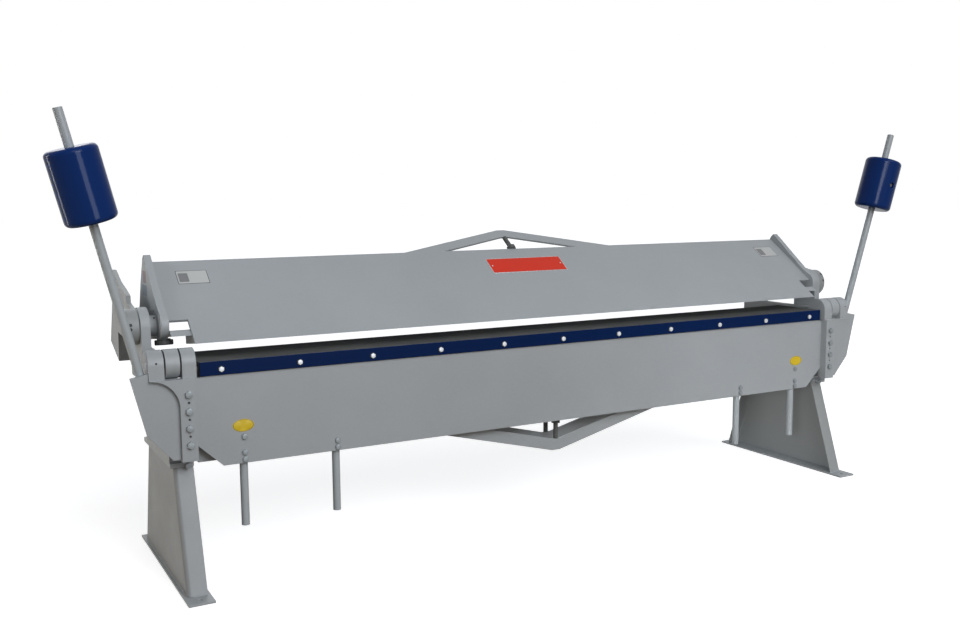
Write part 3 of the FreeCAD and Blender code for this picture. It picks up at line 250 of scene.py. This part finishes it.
GREY = linear(147, 151, 154)
FINISHES = {
    "frame_grey": paint("grey_paint", GREY, 0.46, 0.35, specular=0.25),
    "navy_strip": paint("navy_paint", linear(6, 28, 68), 0.46, 0.6, specular=0.03,
                        worn_colour=linear(70, 86, 122)),
    "blue_weight": paint("blue_enamel", linear(0, 37, 94), 0.24, 0.2, 0.00012, coat=0.12, specular=0.02,
                         worn_colour=linear(30, 62, 122)),
    "nameplate_red": paint("red_enamel", linear(198, 42, 18), 0.34, 0.3, 0.00008, specular=0.15),
    "dark_steel": ground_steel("dark_ground_steel", linear(78, 79, 79), linear(118, 119, 118), 0.44),
    "zinc_steel": turned_steel("zinc_plate", linear(130, 136, 138), 0.50, ALL_WAYS, 0.2),
    "pin_steel": turned_steel("turned_pin_steel", linear(120, 122, 124), 0.38, AROUND_SHAFT, 1.0),
}
# A paler copy of the grey paint: painted light on the arms and handles
PAINTED_LIGHT_GREY = paint("painted_light_arm_paint", linear(154, 160, 164), 0.42, 0.4, specular=0.25)
# A darker copy of the grey paint: painted shade on the legs, levers and hub bosses
PAINTED_SHADE_GREY = paint("painted_shade_grey_paint", linear(133, 136, 137), 0.46, 0.35, specular=0.25)
BRIGHT_ZINC = turned_steel("bright_zinc", linear(214, 217, 219), 0.46, ALL_WAYS, 0.2)
SILVER = turned_steel("silver_rim", linear(176, 178, 180), 0.28, ALL_WAYS, 1.0)
BLACK_RUBBER = rubber("black_rubber", linear(22, 22, 22))
# A black for painted shade: the rings round the strip screws and the hub sockets
SHADOW_BLACK = rubber("painted_shade_black", linear(12, 12, 14))
WELD = paint("painted_weld", linear(140, 145, 147), 0.50, 0.6, 0.0004)
YELLOW = label_print("yellow_label", linear(196, 168, 20), 0.40)
LABEL_PALE = label_print("pale_label", linear(172, 173, 172), 0.45)
LABEL_GREY = label_print("grey_label_block", linear(112, 113, 115), 0.45)
LABEL_DARK = label_print("dark_label_ink", linear(62, 61, 62), 0.50)
DULL_RED = label_print("dull_red_label", linear(124, 106, 110), 0.50)
DULL_BLUE = label_print("dull_blue_label", linear(108, 120, 130), 0.50)


def dress_cad_nodes():
    """Give every CAD node the finish of its slot, and the arms and handles a paler grey as painted
    light.
    """
    for node, slot in SLOTS.items():
        finish = FINISHES[slot]
        if "weight_arm" in node or "handles" in node:
            finish = PAINTED_LIGHT_GREY
        for material_slot in NODES[node].material_slots:
            material_slot.material = finish


# Pieces

SMOOTH_BELOW = math.radians(32)
ROUND_ABOVE = math.radians(38)


def new_piece(name, form, body, finish):
    """An object made of a bmesh, riding on a body."""
    mesh = bpy.data.meshes.new(name)
    form.to_mesh(mesh)
    form.free()
    mesh.shade_smooth()
    mesh.set_sharp_from_angle(angle=SMOOTH_BELOW)
    item = bpy.data.objects.new(name, mesh)
    bpy.context.scene.collection.objects.link(item)
    mesh.materials.append(finish)
    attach(item, body)
    return item


def round_off(item, width, segments):
    """Round the sharp edges of a piece and keep its large faces flat in the light."""
    bevel = item.modifiers.new("Edges", "BEVEL")
    bevel.width = width
    bevel.segments = segments
    bevel.limit_method = "ANGLE"
    bevel.angle_limit = ROUND_ABOVE
    bevel.harden_normals = True
    bevel.miter_outer = "MITER_ARC"
    flat = item.modifiers.new("Flat faces", "WEIGHTED_NORMAL")
    flat.weight = 100
    flat.keep_sharp = True


def soften(node, width, segments=2, finish=None):
    """A copy of a CAD node with cleaned faces and rounded edges, which stands for it."""
    form = bmesh.new()
    form.from_mesh(NODES[node].data)
    bmesh.ops.remove_doubles(form, verts=form.verts, dist=1e-6)
    bmesh.ops.dissolve_limit(form, angle_limit=math.radians(0.4), verts=form.verts, edges=form.edges)
    slot = SLOTS[node]
    item = new_piece(node + "_dressed", form, NODES[node]["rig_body"], finish or FINISHES[slot])
    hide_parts(node)
    round_off(item, width, segments)


def facing_out(point, direction):
    """A placement at a point with its Z axis along a direction."""
    turn = Vector(direction).to_track_quat("Z", "Y").to_matrix().to_4x4()
    return Matrix.Translation(point) @ turn


def add_ring(form, place, radius, height, steps):
    """Points on a circle about local Z, or the one point on the axis where the radius is 0."""
    if radius == 0:
        return [form.verts.new(place @ Vector((0, 0, height)))]
    angles = [2 * math.pi * i / steps for i in range(steps)]
    return [form.verts.new(place @ Vector((radius * math.cos(angle), radius * math.sin(angle), height)))
            for angle in angles]


def add_lathe(form, place, profile, steps):
    """Turn a profile of (radius, height) points about local Z at a place."""
    rings = [add_ring(form, place, radius, height, steps) for radius, height in profile]
    for lower, upper in zip(rings, rings[1:]):
        for i in range(steps):
            a, b = i, (i + 1) % steps
            if len(lower) == 1:
                form.faces.new((lower[0], upper[a], upper[b]))
            elif len(upper) == 1:
                form.faces.new((lower[a], lower[b], upper[0]))
            else:
                form.faces.new((lower[a], lower[b], upper[b], upper[a]))


def add_hex_head(form, place, flats, height):
    """A hexagon head whose corners are turned down by a 30 degree chamfer."""
    steps = 48
    half = flats / 2
    foot, rim = [], []
    for i in range(steps):
        angle = 2 * math.pi * i / steps
        corner = half / math.cos((angle + math.pi / 6) % (math.pi / 3) - math.pi / 6)
        drop = (corner - half) * math.tan(math.radians(30)) + 0.04 * height
        x, y = corner * math.cos(angle), corner * math.sin(angle)
        foot.append(form.verts.new(place @ Vector((x, y, 0))))
        rim.append(form.verts.new(place @ Vector((x, y, height - drop))))
    face = add_ring(form, place, 0.93 * half, height, steps)
    for i in range(steps):
        j = (i + 1) % steps
        form.faces.new((foot[i], foot[j], rim[j], rim[i]))
        form.faces.new((rim[i], rim[j], face[j], face[i]))
    form.faces.new(face)
    form.faces.new(list(reversed(foot)))


def add_washer(form, place, bore, rim, thickness):
    """A flat ring with its upper rim eased."""
    edge = thickness * 0.3
    add_lathe(form, place, [(bore, 0), (rim, 0), (rim, thickness - edge), (rim - edge, thickness),
                            (bore, thickness), (bore, 0)], 32)


def add_thread(form, place, radius, length):
    """The threaded end of a bolt."""
    pitch = 0.0015
    profile = [(radius, 0)]
    for i in range(int(length / pitch)):
        profile += [(radius, (i + 0.15) * pitch), (radius - 0.0006, (i + 0.65) * pitch)]
    profile += [(radius - 0.0012, length), (0, length)]
    add_lathe(form, place, profile, 24)


# Width across the flats and height of a head or nut, and radius of the shank
STRIP_SCREW = (0.017, 0.0064, 0.005)
SMALL_BOLT = (0.019, 0.0075, 0.006)
LARGE_BOLT = (0.024, 0.010, 0.008)


def bolt_set(name, node, body, heads, bolt, ends=(), washer_rim=None, finish=None):
    """Hexagon heads and nuts at (point, direction) places; ends are (point, direction, length)."""
    flats, height, shank = bolt
    washer_thickness = 0.0022 if washer_rim else 0.0
    form = bmesh.new()
    for point, direction in heads:
        place = facing_out(point, direction)
        if washer_rim:
            add_washer(form, place, shank, washer_rim, washer_thickness)
        head_place = place @ Matrix.Translation((0, 0, washer_thickness))
        add_hex_head(form, head_place, flats, height - washer_thickness)
    for point, direction, length in ends:
        add_thread(form, facing_out(point, direction), shank, length)
    item = new_piece(name, form, body, finish or FINISHES["zinc_steel"])
    if node:
        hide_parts(node)


def add_bead(form, start, end, radius):
    """A weld bead: a rippled round rope laid from one point to another."""
    steps = 10
    pitch = 0.006
    start, end = Vector(start), Vector(end)
    count = int((end - start).length / pitch)
    rings = []
    for i in range(count + 1):
        ripple = radius * (1.0 + 0.16 * math.sin(i * 2.4) + 0.08 * math.sin(i * 5.1))
        place = facing_out(start.lerp(end, i / count), end - start)
        rings.append(add_ring(form, place, ripple, 0, steps))
    for lower, upper in zip(rings, rings[1:]):
        for k in range(steps):
            form.faces.new((lower[k], lower[(k + 1) % steps], upper[(k + 1) % steps], upper[k]))
    form.faces.new(list(reversed(rings[0])))
    form.faces.new(rings[-1])


def add_plate(form, place, width, height, thickness, corner):
    """A thin plate with rounded corners, its back on local Z = 0 and its rim eased."""
    steps = 6
    ease = min(thickness * 0.4, 0.0008)
    loops = []
    for inset, level in ((0, 0), (0, thickness - ease), (ease, thickness)):
        loop = []
        for cx, cy, first in ((1, 1, 0), (-1, 1, 90), (-1, -1, 180), (1, -1, 270)):
            for i in range(steps + 1):
                angle = math.radians(first + 90 * i / steps)
                x = cx * (width / 2 - corner) + (corner - inset) * math.cos(angle)
                y = cy * (height / 2 - corner) + (corner - inset) * math.sin(angle)
                loop.append(form.verts.new(place @ Vector((x, y, level))))
        loops.append(loop)
    count = len(loops[0])
    for lower, upper in zip(loops, loops[1:]):
        for i in range(count):
            form.faces.new((lower[i], lower[(i + 1) % count], upper[(i + 1) % count], upper[i]))
    form.faces.new(list(reversed(loops[0])))
    form.faces.new(loops[-1])


def facing(centre, right, up):
    """A placement whose local X and Y run right and up over a surface."""
    right, up = Vector(right), Vector(up)
    out = right.cross(up)
    turn = Matrix((right, up, out)).transposed().to_4x4()
    return Matrix.Translation(centre) @ turn


def on_leaf(x, along, lift=0.0):
    """A placement on the leaf's front face, with local Y up the slope."""
    point = Vector((x, 0, 0)) + LEAF_NOSE + LEAF_UP * along + LEAF_OUT * lift
    return facing(point, (1, 0, 0), LEAF_UP)


# Castings, legs and plates

def main_forms():
    for side in SIDES:
        soften(side + "_frame_casting", 0.0035, 3)
        soften(side + "_apron_casting", 0.0030, 3)
        soften(side + "_leaf_end", 0.0030, 3)
        # The levers in the darker grey: painted shade
        soften(side + "_clamp_lever", 0.0040, 3, PAINTED_SHADE_GREY)
        soften(side + "_link", 0.0030, 3)
        # The legs in the darker grey: painted shade
        soften(side + "_leg", 0.0010, 2, PAINTED_SHADE_GREY)
        soften(side + "_foot_plate", 0.0012)
        soften(side + "_counterweight", 0.0015)
        # The arms and handles in the paler grey: painted light
        soften(side + "_weight_arm", 0.0020, 2, PAINTED_LIGHT_GREY)
        soften(side + "_lifting_handles", 0.0020, 2, PAINTED_LIGHT_GREY)
    for node in ("leg_caps", "leaf_plate", "leaf_lip", "apron_plate", "apron_strip",
                 "bed_truss_strap", "apron_truss_strap", "leaf_truss_strap"):
        soften(node, 0.0012)
    for node in ("bed_bar", "bed_rear_bar", "apron_bar", "nose_bar"):
        soften(node, 0.0010)
    for node in ("apron_hinge_pins", "link_pins"):
        soften(node, 0.0020)
    paint_ends(bpy.data.objects["nose_bar_dressed"])


def paint_ends(item):
    """Paint the two end faces of a bar with the frame's grey."""
    item.data.materials.append(FINISHES["frame_grey"])
    for face in item.data.polygons:
        if abs(face.normal.x) > 0.9:
            face.material_index = 1


# Fasteners

def strip_screws():
    front, height, pitch = HINGE_Y - 0.036, 0.791, 0.290
    places = [Vector((pitch * i, front, height)) for i in range(-5, 6)]
    bolt_set("strip_screw_heads", "strip_screws", "apron", [(place, FORWARD) for place in places],
             STRIP_SCREW, finish=BRIGHT_ZINC)
    # Black rings round the heads: painted shadow of the heads, laid as thin discs on the strip
    form = bmesh.new()
    for place in places:
        add_washer(form, facing_out(place, FORWARD), 0.004, 0.0118, 0.0012)
    new_piece("strip_screw_painted_shadows", form, "apron", SHADOW_BLACK)


def casting_bolts():
    across = 1.573
    head_seat, nut_seat, nut_face = HINGE_Y - 0.062, HINGE_Y - 0.016, HINGE_Y - 0.006
    heads, ends = [], []
    for side in SIDES.values():
        for height in (0.536, 0.596, 0.656, 0.716):
            heads.append((Vector((side * across, head_seat, height)), FORWARD))
            heads.append((Vector((side * across, nut_seat, height)), BACKWARD))
            ends.append((Vector((side * across, nut_face, height)), BACKWARD, 0.008))
    bolt_set("casting_bolt_heads", "casting_bolts", "apron", heads, LARGE_BOLT, ends)


def handle_bolts():
    outer_bar, inner_bar = 1.373, 1.017
    places = [(outer_bar, 0.452), (outer_bar, 0.478), (outer_bar, 0.536),
              (inner_bar, 0.452), (inner_bar, 0.478)]
    heads = [(Vector((side * x, APRON_FRONT, height)), FORWARD)
             for side in SIDES.values() for x, height in places]
    bolt_set("handle_bolt_heads", "handle_bolts", "apron", heads, SMALL_BOLT, washer_rim=0.0120)


def frame_bolts():
    """The bolts through the castings' feet into the legs, and those through the sides into the bed."""
    foot_across, flange_top, cap_underside, nut_face = 1.575, 0.472, 0.441, 0.431
    casting_side = 1.631
    heads, ends = [], []
    for side in SIDES.values():
        for back in (0.057, 0.2285, 0.400):
            x, y = side * foot_across, HINGE_Y + back
            heads.append((Vector((x, y, flange_top)), UPWARD))
            heads.append((Vector((x, y, cap_underside)), DOWNWARD))
            ends.append((Vector((x, y, nut_face)), DOWNWARD, 0.008))
        for back in (0.097, 0.197):
            for height in (0.545, 0.655):
                heads.append((Vector((side * casting_side, HINGE_Y + back, height)), (side, 0, 0)))
    bolt_set("frame_bolt_heads", "frame_bolts", "frame", heads, LARGE_BOLT, ends)


def apron_stops():
    """The apron's stops: a screw in the front edge of each leg cap, with its locknut."""
    across, cap_front, height, reach = 1.571, HINGE_Y + 0.015, 0.4495, 0.0145
    locknuts = [Vector((side * across, cap_front, height)) for side in SIDES.values()]
    heads = [place + Vector(FORWARD) * reach for place in locknuts]
    bolt_set("apron_stop_screws", None, "frame", [(place, FORWARD) for place in locknuts + heads],
             SMALL_BOLT, [(place, FORWARD, 0.0150) for place in locknuts])


# Welds

def welds():
    """Beads round the foot and the head of each leg, on its three closed sides."""
    bend = 0.018
    for name, side in SIDES.items():
        form = bmesh.new()
        outer, inner = side * 1.6185, side * 1.549
        for height, front, rear, radius in ((0.0085, HINGE_Y - 0.117, HINGE_Y + 0.614, 0.0030),
                                            (0.4400, HINGE_Y + 0.028, HINGE_Y + 0.479, 0.0026)):
            add_bead(form, (outer, front + bend, height), (outer, rear - bend, height), radius)
            for y in (front, rear):
                add_bead(form, (inner, y, height), (outer - side * bend, y, height), radius)
        new_piece(name + "_leg_welds", form, "frame", WELD)


# Labels and the nameplate, all bare of words

def plate_piece(name, body, finish, place, width, height, thickness, corner):
    """A thin plate or label as a piece of its own."""
    form = bmesh.new()
    add_plate(form, place, width, height, thickness, corner)
    return new_piece(name, form, body, finish)


def nameplate():
    """A red field on a silver rim, held by two rivets."""
    middle, up_slope, to_rivet = 0.018, 0.347, 0.178
    red = FINISHES["nameplate_red"]
    rim = plate_piece("nameplate_rim", "top_leaf", SILVER, on_leaf(middle, up_slope),
                      0.388, 0.100, 0.0016, 0.004)
    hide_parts("nameplate")
    plate_piece("nameplate_field", "top_leaf", red, on_leaf(middle, up_slope, 0.0014),
                0.380, 0.092, 0.0008, 0.003)
    form = bmesh.new()
    for x in (middle - to_rivet, middle + to_rivet):
        add_lathe(form, on_leaf(x, up_slope, 0.0020),
                  [(0.0036, 0), (0.0034, 0.0010), (0.0019, 0.0019), (0, 0.0021)], 16)
    new_piece("nameplate_rivets", form, "top_leaf", SILVER)


def leaf_labels():
    """A pale label with a dark rim and a grey block near each end of the leaf."""
    up_slope, thickness = 0.3635, 0.0003
    for name, x in (("left", -1.4605), ("right", 1.479)):
        plate_piece(name + "_leaf_label_rim", "top_leaf", LABEL_DARK, on_leaf(x, up_slope),
                    0.118, 0.076, thickness, 0.003)
        plate_piece(name + "_leaf_label", "top_leaf", LABEL_PALE, on_leaf(x, up_slope, 0.0002),
                    0.114, 0.072, thickness, 0.003)
        plate_piece(name + "_leaf_label_block", "top_leaf", LABEL_GREY,
                    on_leaf(x - 0.034, up_slope - 0.0015, 0.0004), 0.036, 0.050, thickness, 0.002)


def oval_labels():
    """A yellow oval with a dark line inside its rim, above each outer handle bar."""
    flatten = Matrix.Diagonal((1.0, 0.595, 1.0, 1.0))
    across, height = 1.3765, 0.5775
    label = [(0, 0), (0.0395, 0), (0.0395, 0.0003), (0.0390, 0.0005), (0, 0.0005)]
    line = [(0.0358, 0.0004), (0.0374, 0.0004), (0.0374, 0.0007), (0.0358, 0.0007), (0.0358, 0.0004)]
    for name, side in SIDES.items():
        place = facing((side * across, APRON_FRONT, height), (1, 0, 0), UPWARD) @ flatten
        form = bmesh.new()
        add_lathe(form, place, label, 48)
        new_piece(name + "_oval_label", form, "apron", YELLOW)
        form = bmesh.new()
        add_lathe(form, place, line, 48)
        new_piece(name + "_oval_label_line", form, "apron", LABEL_DARK)


def end_labels():
    """Two small labels on the outer face of each leaf end."""
    kinds = (("upper", DULL_RED, 0.122, 1.100, 0.055, 0.045),
             ("lower", DULL_BLUE, 0.126, 1.049, 0.090, 0.042))
    for name, side in SIDES.items():
        for part, finish, y, z, width, height in kinds:
            place = facing((side * LEAF_END_FACE, y, z), (0, side, 0), UPWARD)
            plate_piece("%s_end_%s_label" % (name, part), "top_leaf", finish, place,
                        width, height, 0.0004, 0.002)


# Small holes and screws in round parts

def add_socket(form, centre, out, radius):
    """The end of a set screw: a low ring round a shallow hollow, black as painted shade down in the
    socket.
    """
    profile = [(radius, -0.0010), (radius, 0.0004), (radius * 0.85, 0.0007), (radius * 0.72, 0.0003),
               (0, 0.0003)]
    add_lathe(form, facing_out(centre, out), profile, 20)


def around(side, x, axis, radius, angle):
    """A point on a round part that lies along X, and the way out of its surface there."""
    turn = math.radians(angle)
    spoke = Vector((0, math.cos(turn), math.sin(turn)))
    return Vector((side * x, axis[0], axis[1])) + spoke * radius, spoke


def set_screws():
    """The set screws of the hubs, knuckles and collars; angles in degrees, from the back upwards."""
    hinge = (HINGE_Y, HINGE_Z)
    hub_middle, hub_screw = 1.7225, 0.0062
    hub_angles = {"left": (168, 182), "right": (135, 168)}
    collar_middle, collar_angle, collar_screw = 1.6334, 127, 0.0040
    end_y, end_z, end_screw = -0.018, 0.9846, 0.0055
    # A knuckle screw's place along the machine, its angle and its radius
    knuckle_screws = {"left": ((1.6754, 168, 0.0038),),
                      "right": ((1.6742, 198, 0.0042), (1.6842, 169, 0.0030))}
    for name, side in SIDES.items():
        form = bmesh.new()
        for angle in hub_angles[name]:
            add_socket(form, *around(side, hub_middle, CLAMP_AXIS, HUB_RADIUS, angle), hub_screw)
        # The hub sockets in the shadow black: painted shade down in them
        new_piece(name + "_hub_grub_screws", form, name + "_clamp", SHADOW_BLACK)
        form = bmesh.new()
        for x, angle, radius in knuckle_screws[name]:
            add_socket(form, *around(side, x, hinge, KNUCKLE_RADIUS, angle), radius)
        # The knuckle sockets in the black rubber finish: painted shade down in them
        new_piece(name + "_knuckle_screws", form, "apron", BLACK_RUBBER)
        form = bmesh.new()
        add_socket(form, *around(side, collar_middle, CLAMP_AXIS, COLLAR_RADIUS, collar_angle),
                   collar_screw)
        on_end = Vector((side * (LEAF_END_FACE - 0.0003), end_y, end_z))
        add_socket(form, on_end, (side, 0, 0), end_screw)
        # The collar and end sockets in the black rubber finish: painted shade down in them
        new_piece(name + "_collar_screws", form, "top_leaf", BLACK_RUBBER)


def hub_faces():
    """The turned boss on the outer face of each lever's hub."""
    y, z = CLAMP_AXIS
    for name, side in SIDES.items():
        form = bmesh.new()
        place = facing_out((side * (HUB_FACE - 0.0005), y, z), (side, 0, 0))
        add_lathe(form, place, [(0.016, 0), (0.052, 0), (0.052, 0.0022), (0.050, 0.0040),
                                (0.019, 0.0040), (0.0165, 0.0020), (0.016, 0)], 48)
        # The boss in the darker grey of the levers: painted shade
        new_piece(name + "_hub_boss", form, name + "_clamp", PAINTED_SHADE_GREY)


# Bumpers under the leaf's ends

def bumpers():
    """A rubber bumper on a steel plate under each end of the leaf, given with the leaf closed."""
    across, back, underside = 1.606, -0.079, 0.845
    plate = [(0, -0.0003), (0.024, -0.0003), (0.024, 0.0030), (0.0232, 0.0038), (0, 0.0038)]
    block = [(0, 0.0036), (0.031, 0.0036), (0.033, 0.0060), (0.033, 0.0200), (0.0310, 0.0230),
             (0.010, 0.0235), (0.008, 0.0210), (0, 0.0210)]
    for name, side in SIDES.items():
        place = LEAF_OPEN @ Matrix.Translation((side * across, back, underside))
        place @= Matrix.Rotation(math.pi, 4, "X")
        form = bmesh.new()
        add_lathe(form, place, plate, 40)
        new_piece(name + "_bumper_plate", form, "top_leaf", FINISHES["zinc_steel"])
        form = bmesh.new()
        add_lathe(form, place, block, 40)
        new_piece(name + "_bumper", form, "top_leaf", BLACK_RUBBER)


# Light, floor and camera

CAMERA_PLACE = (-2.3432, -3.7882, 1.3897)
CAMERA_TURNS = ((-28.89, "Z"), (83.01, "X"), (-0.43, "Z"))
FOCAL_LENGTH = 37.67
SENSOR_WIDTH = 36.0

WHITE = (1.0, 1.0, 1.0, 1.0)
WORLD_LIGHT = (0.20, 0.215, 0.235, 1.0)
FLOOR_SIZE = 120
FLOOR_HEIGHT = -0.0005
FLOOR_LIT = (0.62, 0.62, 0.62, 1.0)
FLOOR_BOUNCE = (0.24, 0.18, 0.11, 1.0)
FLOOR_GLOW = 0.72
SUNS = {
    # name: the way it comes from, its colour, its strength and its angular size in degrees
    "high_front": ((0.3, -1.6, 1.4), (0.98, 0.99, 1.0), 1.15, 40),
    "low_front": ((-0.1, -1.0, 0.25), (1.0, 1.0, 1.0), 0.35, 60),
    "back_fill": ((0.2, 1.6, 0.9), (0.98, 0.99, 1.0), 0.55, 50),
}
LAMPS = {
    # name: its middle, the point it faces, its height and width, its power in watts, its colour
    # and how wide it spreads in degrees
    "key": ((-0.2, -4.6, 3.0), (0.0, -0.2, 0.7), 1.6, 3.0, 86.0, (0.96, 0.98, 1.0), 180),
    "low_left": ((-3.4, 0.3, 0.5), (-1.6, 0.1, 0.3), 0.8, 0.8, 3.4, (1.0, 0.66, 0.22), 180),
    "left_end": ((-4.4, 0.4, 2.4), (-1.65, 0.10, 1.20), 0.8, 0.8, 1.2, (0.92, 0.98, 1.0), 25),
    "right_end": ((-2.0, -3.0, 1.0), (1.65, -0.2, 0.25), 1.0, 1.0, 2.6, (0.96, 0.98, 1.0), 30),
}
GLEAMS = {
    # lamps of the same kind that only show as reflections in glossy surfaces
    "rim_gleam": ((-4.3, 1.4, 1.4), (-1.75, -0.3, 1.6), 3.0, 0.15, 40.0, (1.0, 1.0, 1.0), 180),
    "band_gleam": ((-0.4, -4.4, 2.2), (-1.7, -0.3, 1.6), 3.4, 1.50, 150.0, (0.80, 0.86, 1.0), 180),
}


def seen_directly(tree):
    """1 for the rays that show the background itself: to the eye, in gloss and through glass."""
    path = tree.nodes.new("ShaderNodeLightPath")
    seen = path.outputs["Is Camera Ray"]
    for kind in ("Is Glossy Ray", "Is Transmission Ray"):
        either = tree.nodes.new("ShaderNodeMath")
        either.operation = "MAXIMUM"
        tree.links.new(seen, either.inputs[0])
        tree.links.new(path.outputs[kind], either.inputs[1])
        seen = either.outputs[0]
    return seen


def floor():
    """A pale floor that is white where it is open and keeps the shadow of the object."""
    bpy.ops.mesh.primitive_plane_add(size=FLOOR_SIZE, location=(0, 0, FLOOR_HEIGHT))
    plane = bpy.context.object
    plane.name = "floor"
    finish = Finish("pale_floor")
    seen = seen_directly(finish.tree)
    finish.set(Base_Color=finish.mix(seen, FLOOR_BOUNCE, FLOOR_LIT), Roughness=0.9)
    finish.set(Specular_IOR_Level=0.0, Emission_Color=WHITE)
    finish.set(Emission_Strength=finish.math("MULTIPLY", seen, FLOOR_GLOW))
    plane.data.materials.append(finish.material)


def studio_world():
    world = bpy.data.worlds.new("studio")
    bpy.context.scene.world = world
    world.use_nodes = True
    tree = world.node_tree
    tree.nodes.clear()
    blend = tree.nodes.new("ShaderNodeMixShader")
    tree.links.new(seen_directly(tree), blend.inputs[0])
    for socket, colour in ((1, WORLD_LIGHT), (2, WHITE)):
        background = tree.nodes.new("ShaderNodeBackground")
        background.inputs["Color"].default_value = colour
        tree.links.new(background.outputs[0], blend.inputs[socket])
    output = tree.nodes.new("ShaderNodeOutputWorld")
    tree.links.new(blend.outputs[0], output.inputs["Surface"])


def add_lamp(name, kind, place, toward, **settings):
    """A lamp at a place that shines away from the direction toward."""
    lamp = bpy.data.lights.new(name, kind)
    for key, value in settings.items():
        setattr(lamp, key, value)
    item = bpy.data.objects.new(name, lamp)
    bpy.context.scene.collection.objects.link(item)
    item.location = place
    item.rotation_euler = Vector(toward).to_track_quat("Z", "Y").to_euler()
    return item


def stage():
    floor()
    studio_world()
    for name, (toward, colour, strength, angle) in SUNS.items():
        add_lamp(name, "SUN", toward, toward, color=colour, energy=strength, angle=math.radians(angle))
    for name, lamp in {**LAMPS, **GLEAMS}.items():
        place, target, height, width, power, colour, spread = lamp
        toward = Vector(place) - Vector(target)
        item = add_lamp(name, "AREA", place, toward, shape="RECTANGLE", size=width, size_y=height,
                        energy=power, color=colour, spread=math.radians(spread))
        item.visible_diffuse = name not in GLEAMS
        item.visible_glossy = name in GLEAMS or name == "key"


def camera():
    lens = bpy.data.cameras.new("camera")
    lens.lens = FOCAL_LENGTH
    lens.sensor_width = SENSOR_WIDTH
    lens.dof.use_dof = False
    item = bpy.data.objects.new("camera", lens)
    bpy.context.scene.collection.objects.link(item)
    item.location = CAMERA_PLACE
    turn = Matrix.Identity(4)
    for angle, axis in CAMERA_TURNS:
        turn @= Matrix.Rotation(math.radians(angle), 4, axis)
    item.rotation_euler = turn.to_euler()
    bpy.context.scene.camera = item
    bpy.context.scene.view_settings.view_transform = "Standard"


dress_cad_nodes()
main_forms()
strip_screws()
casting_bolts()
handle_bolts()
frame_bolts()
apron_stops()
welds()
nameplate()
leaf_labels()
oval_labels()
end_labels()
set_screws()
hub_faces()
bumpers()
stage()
camera()
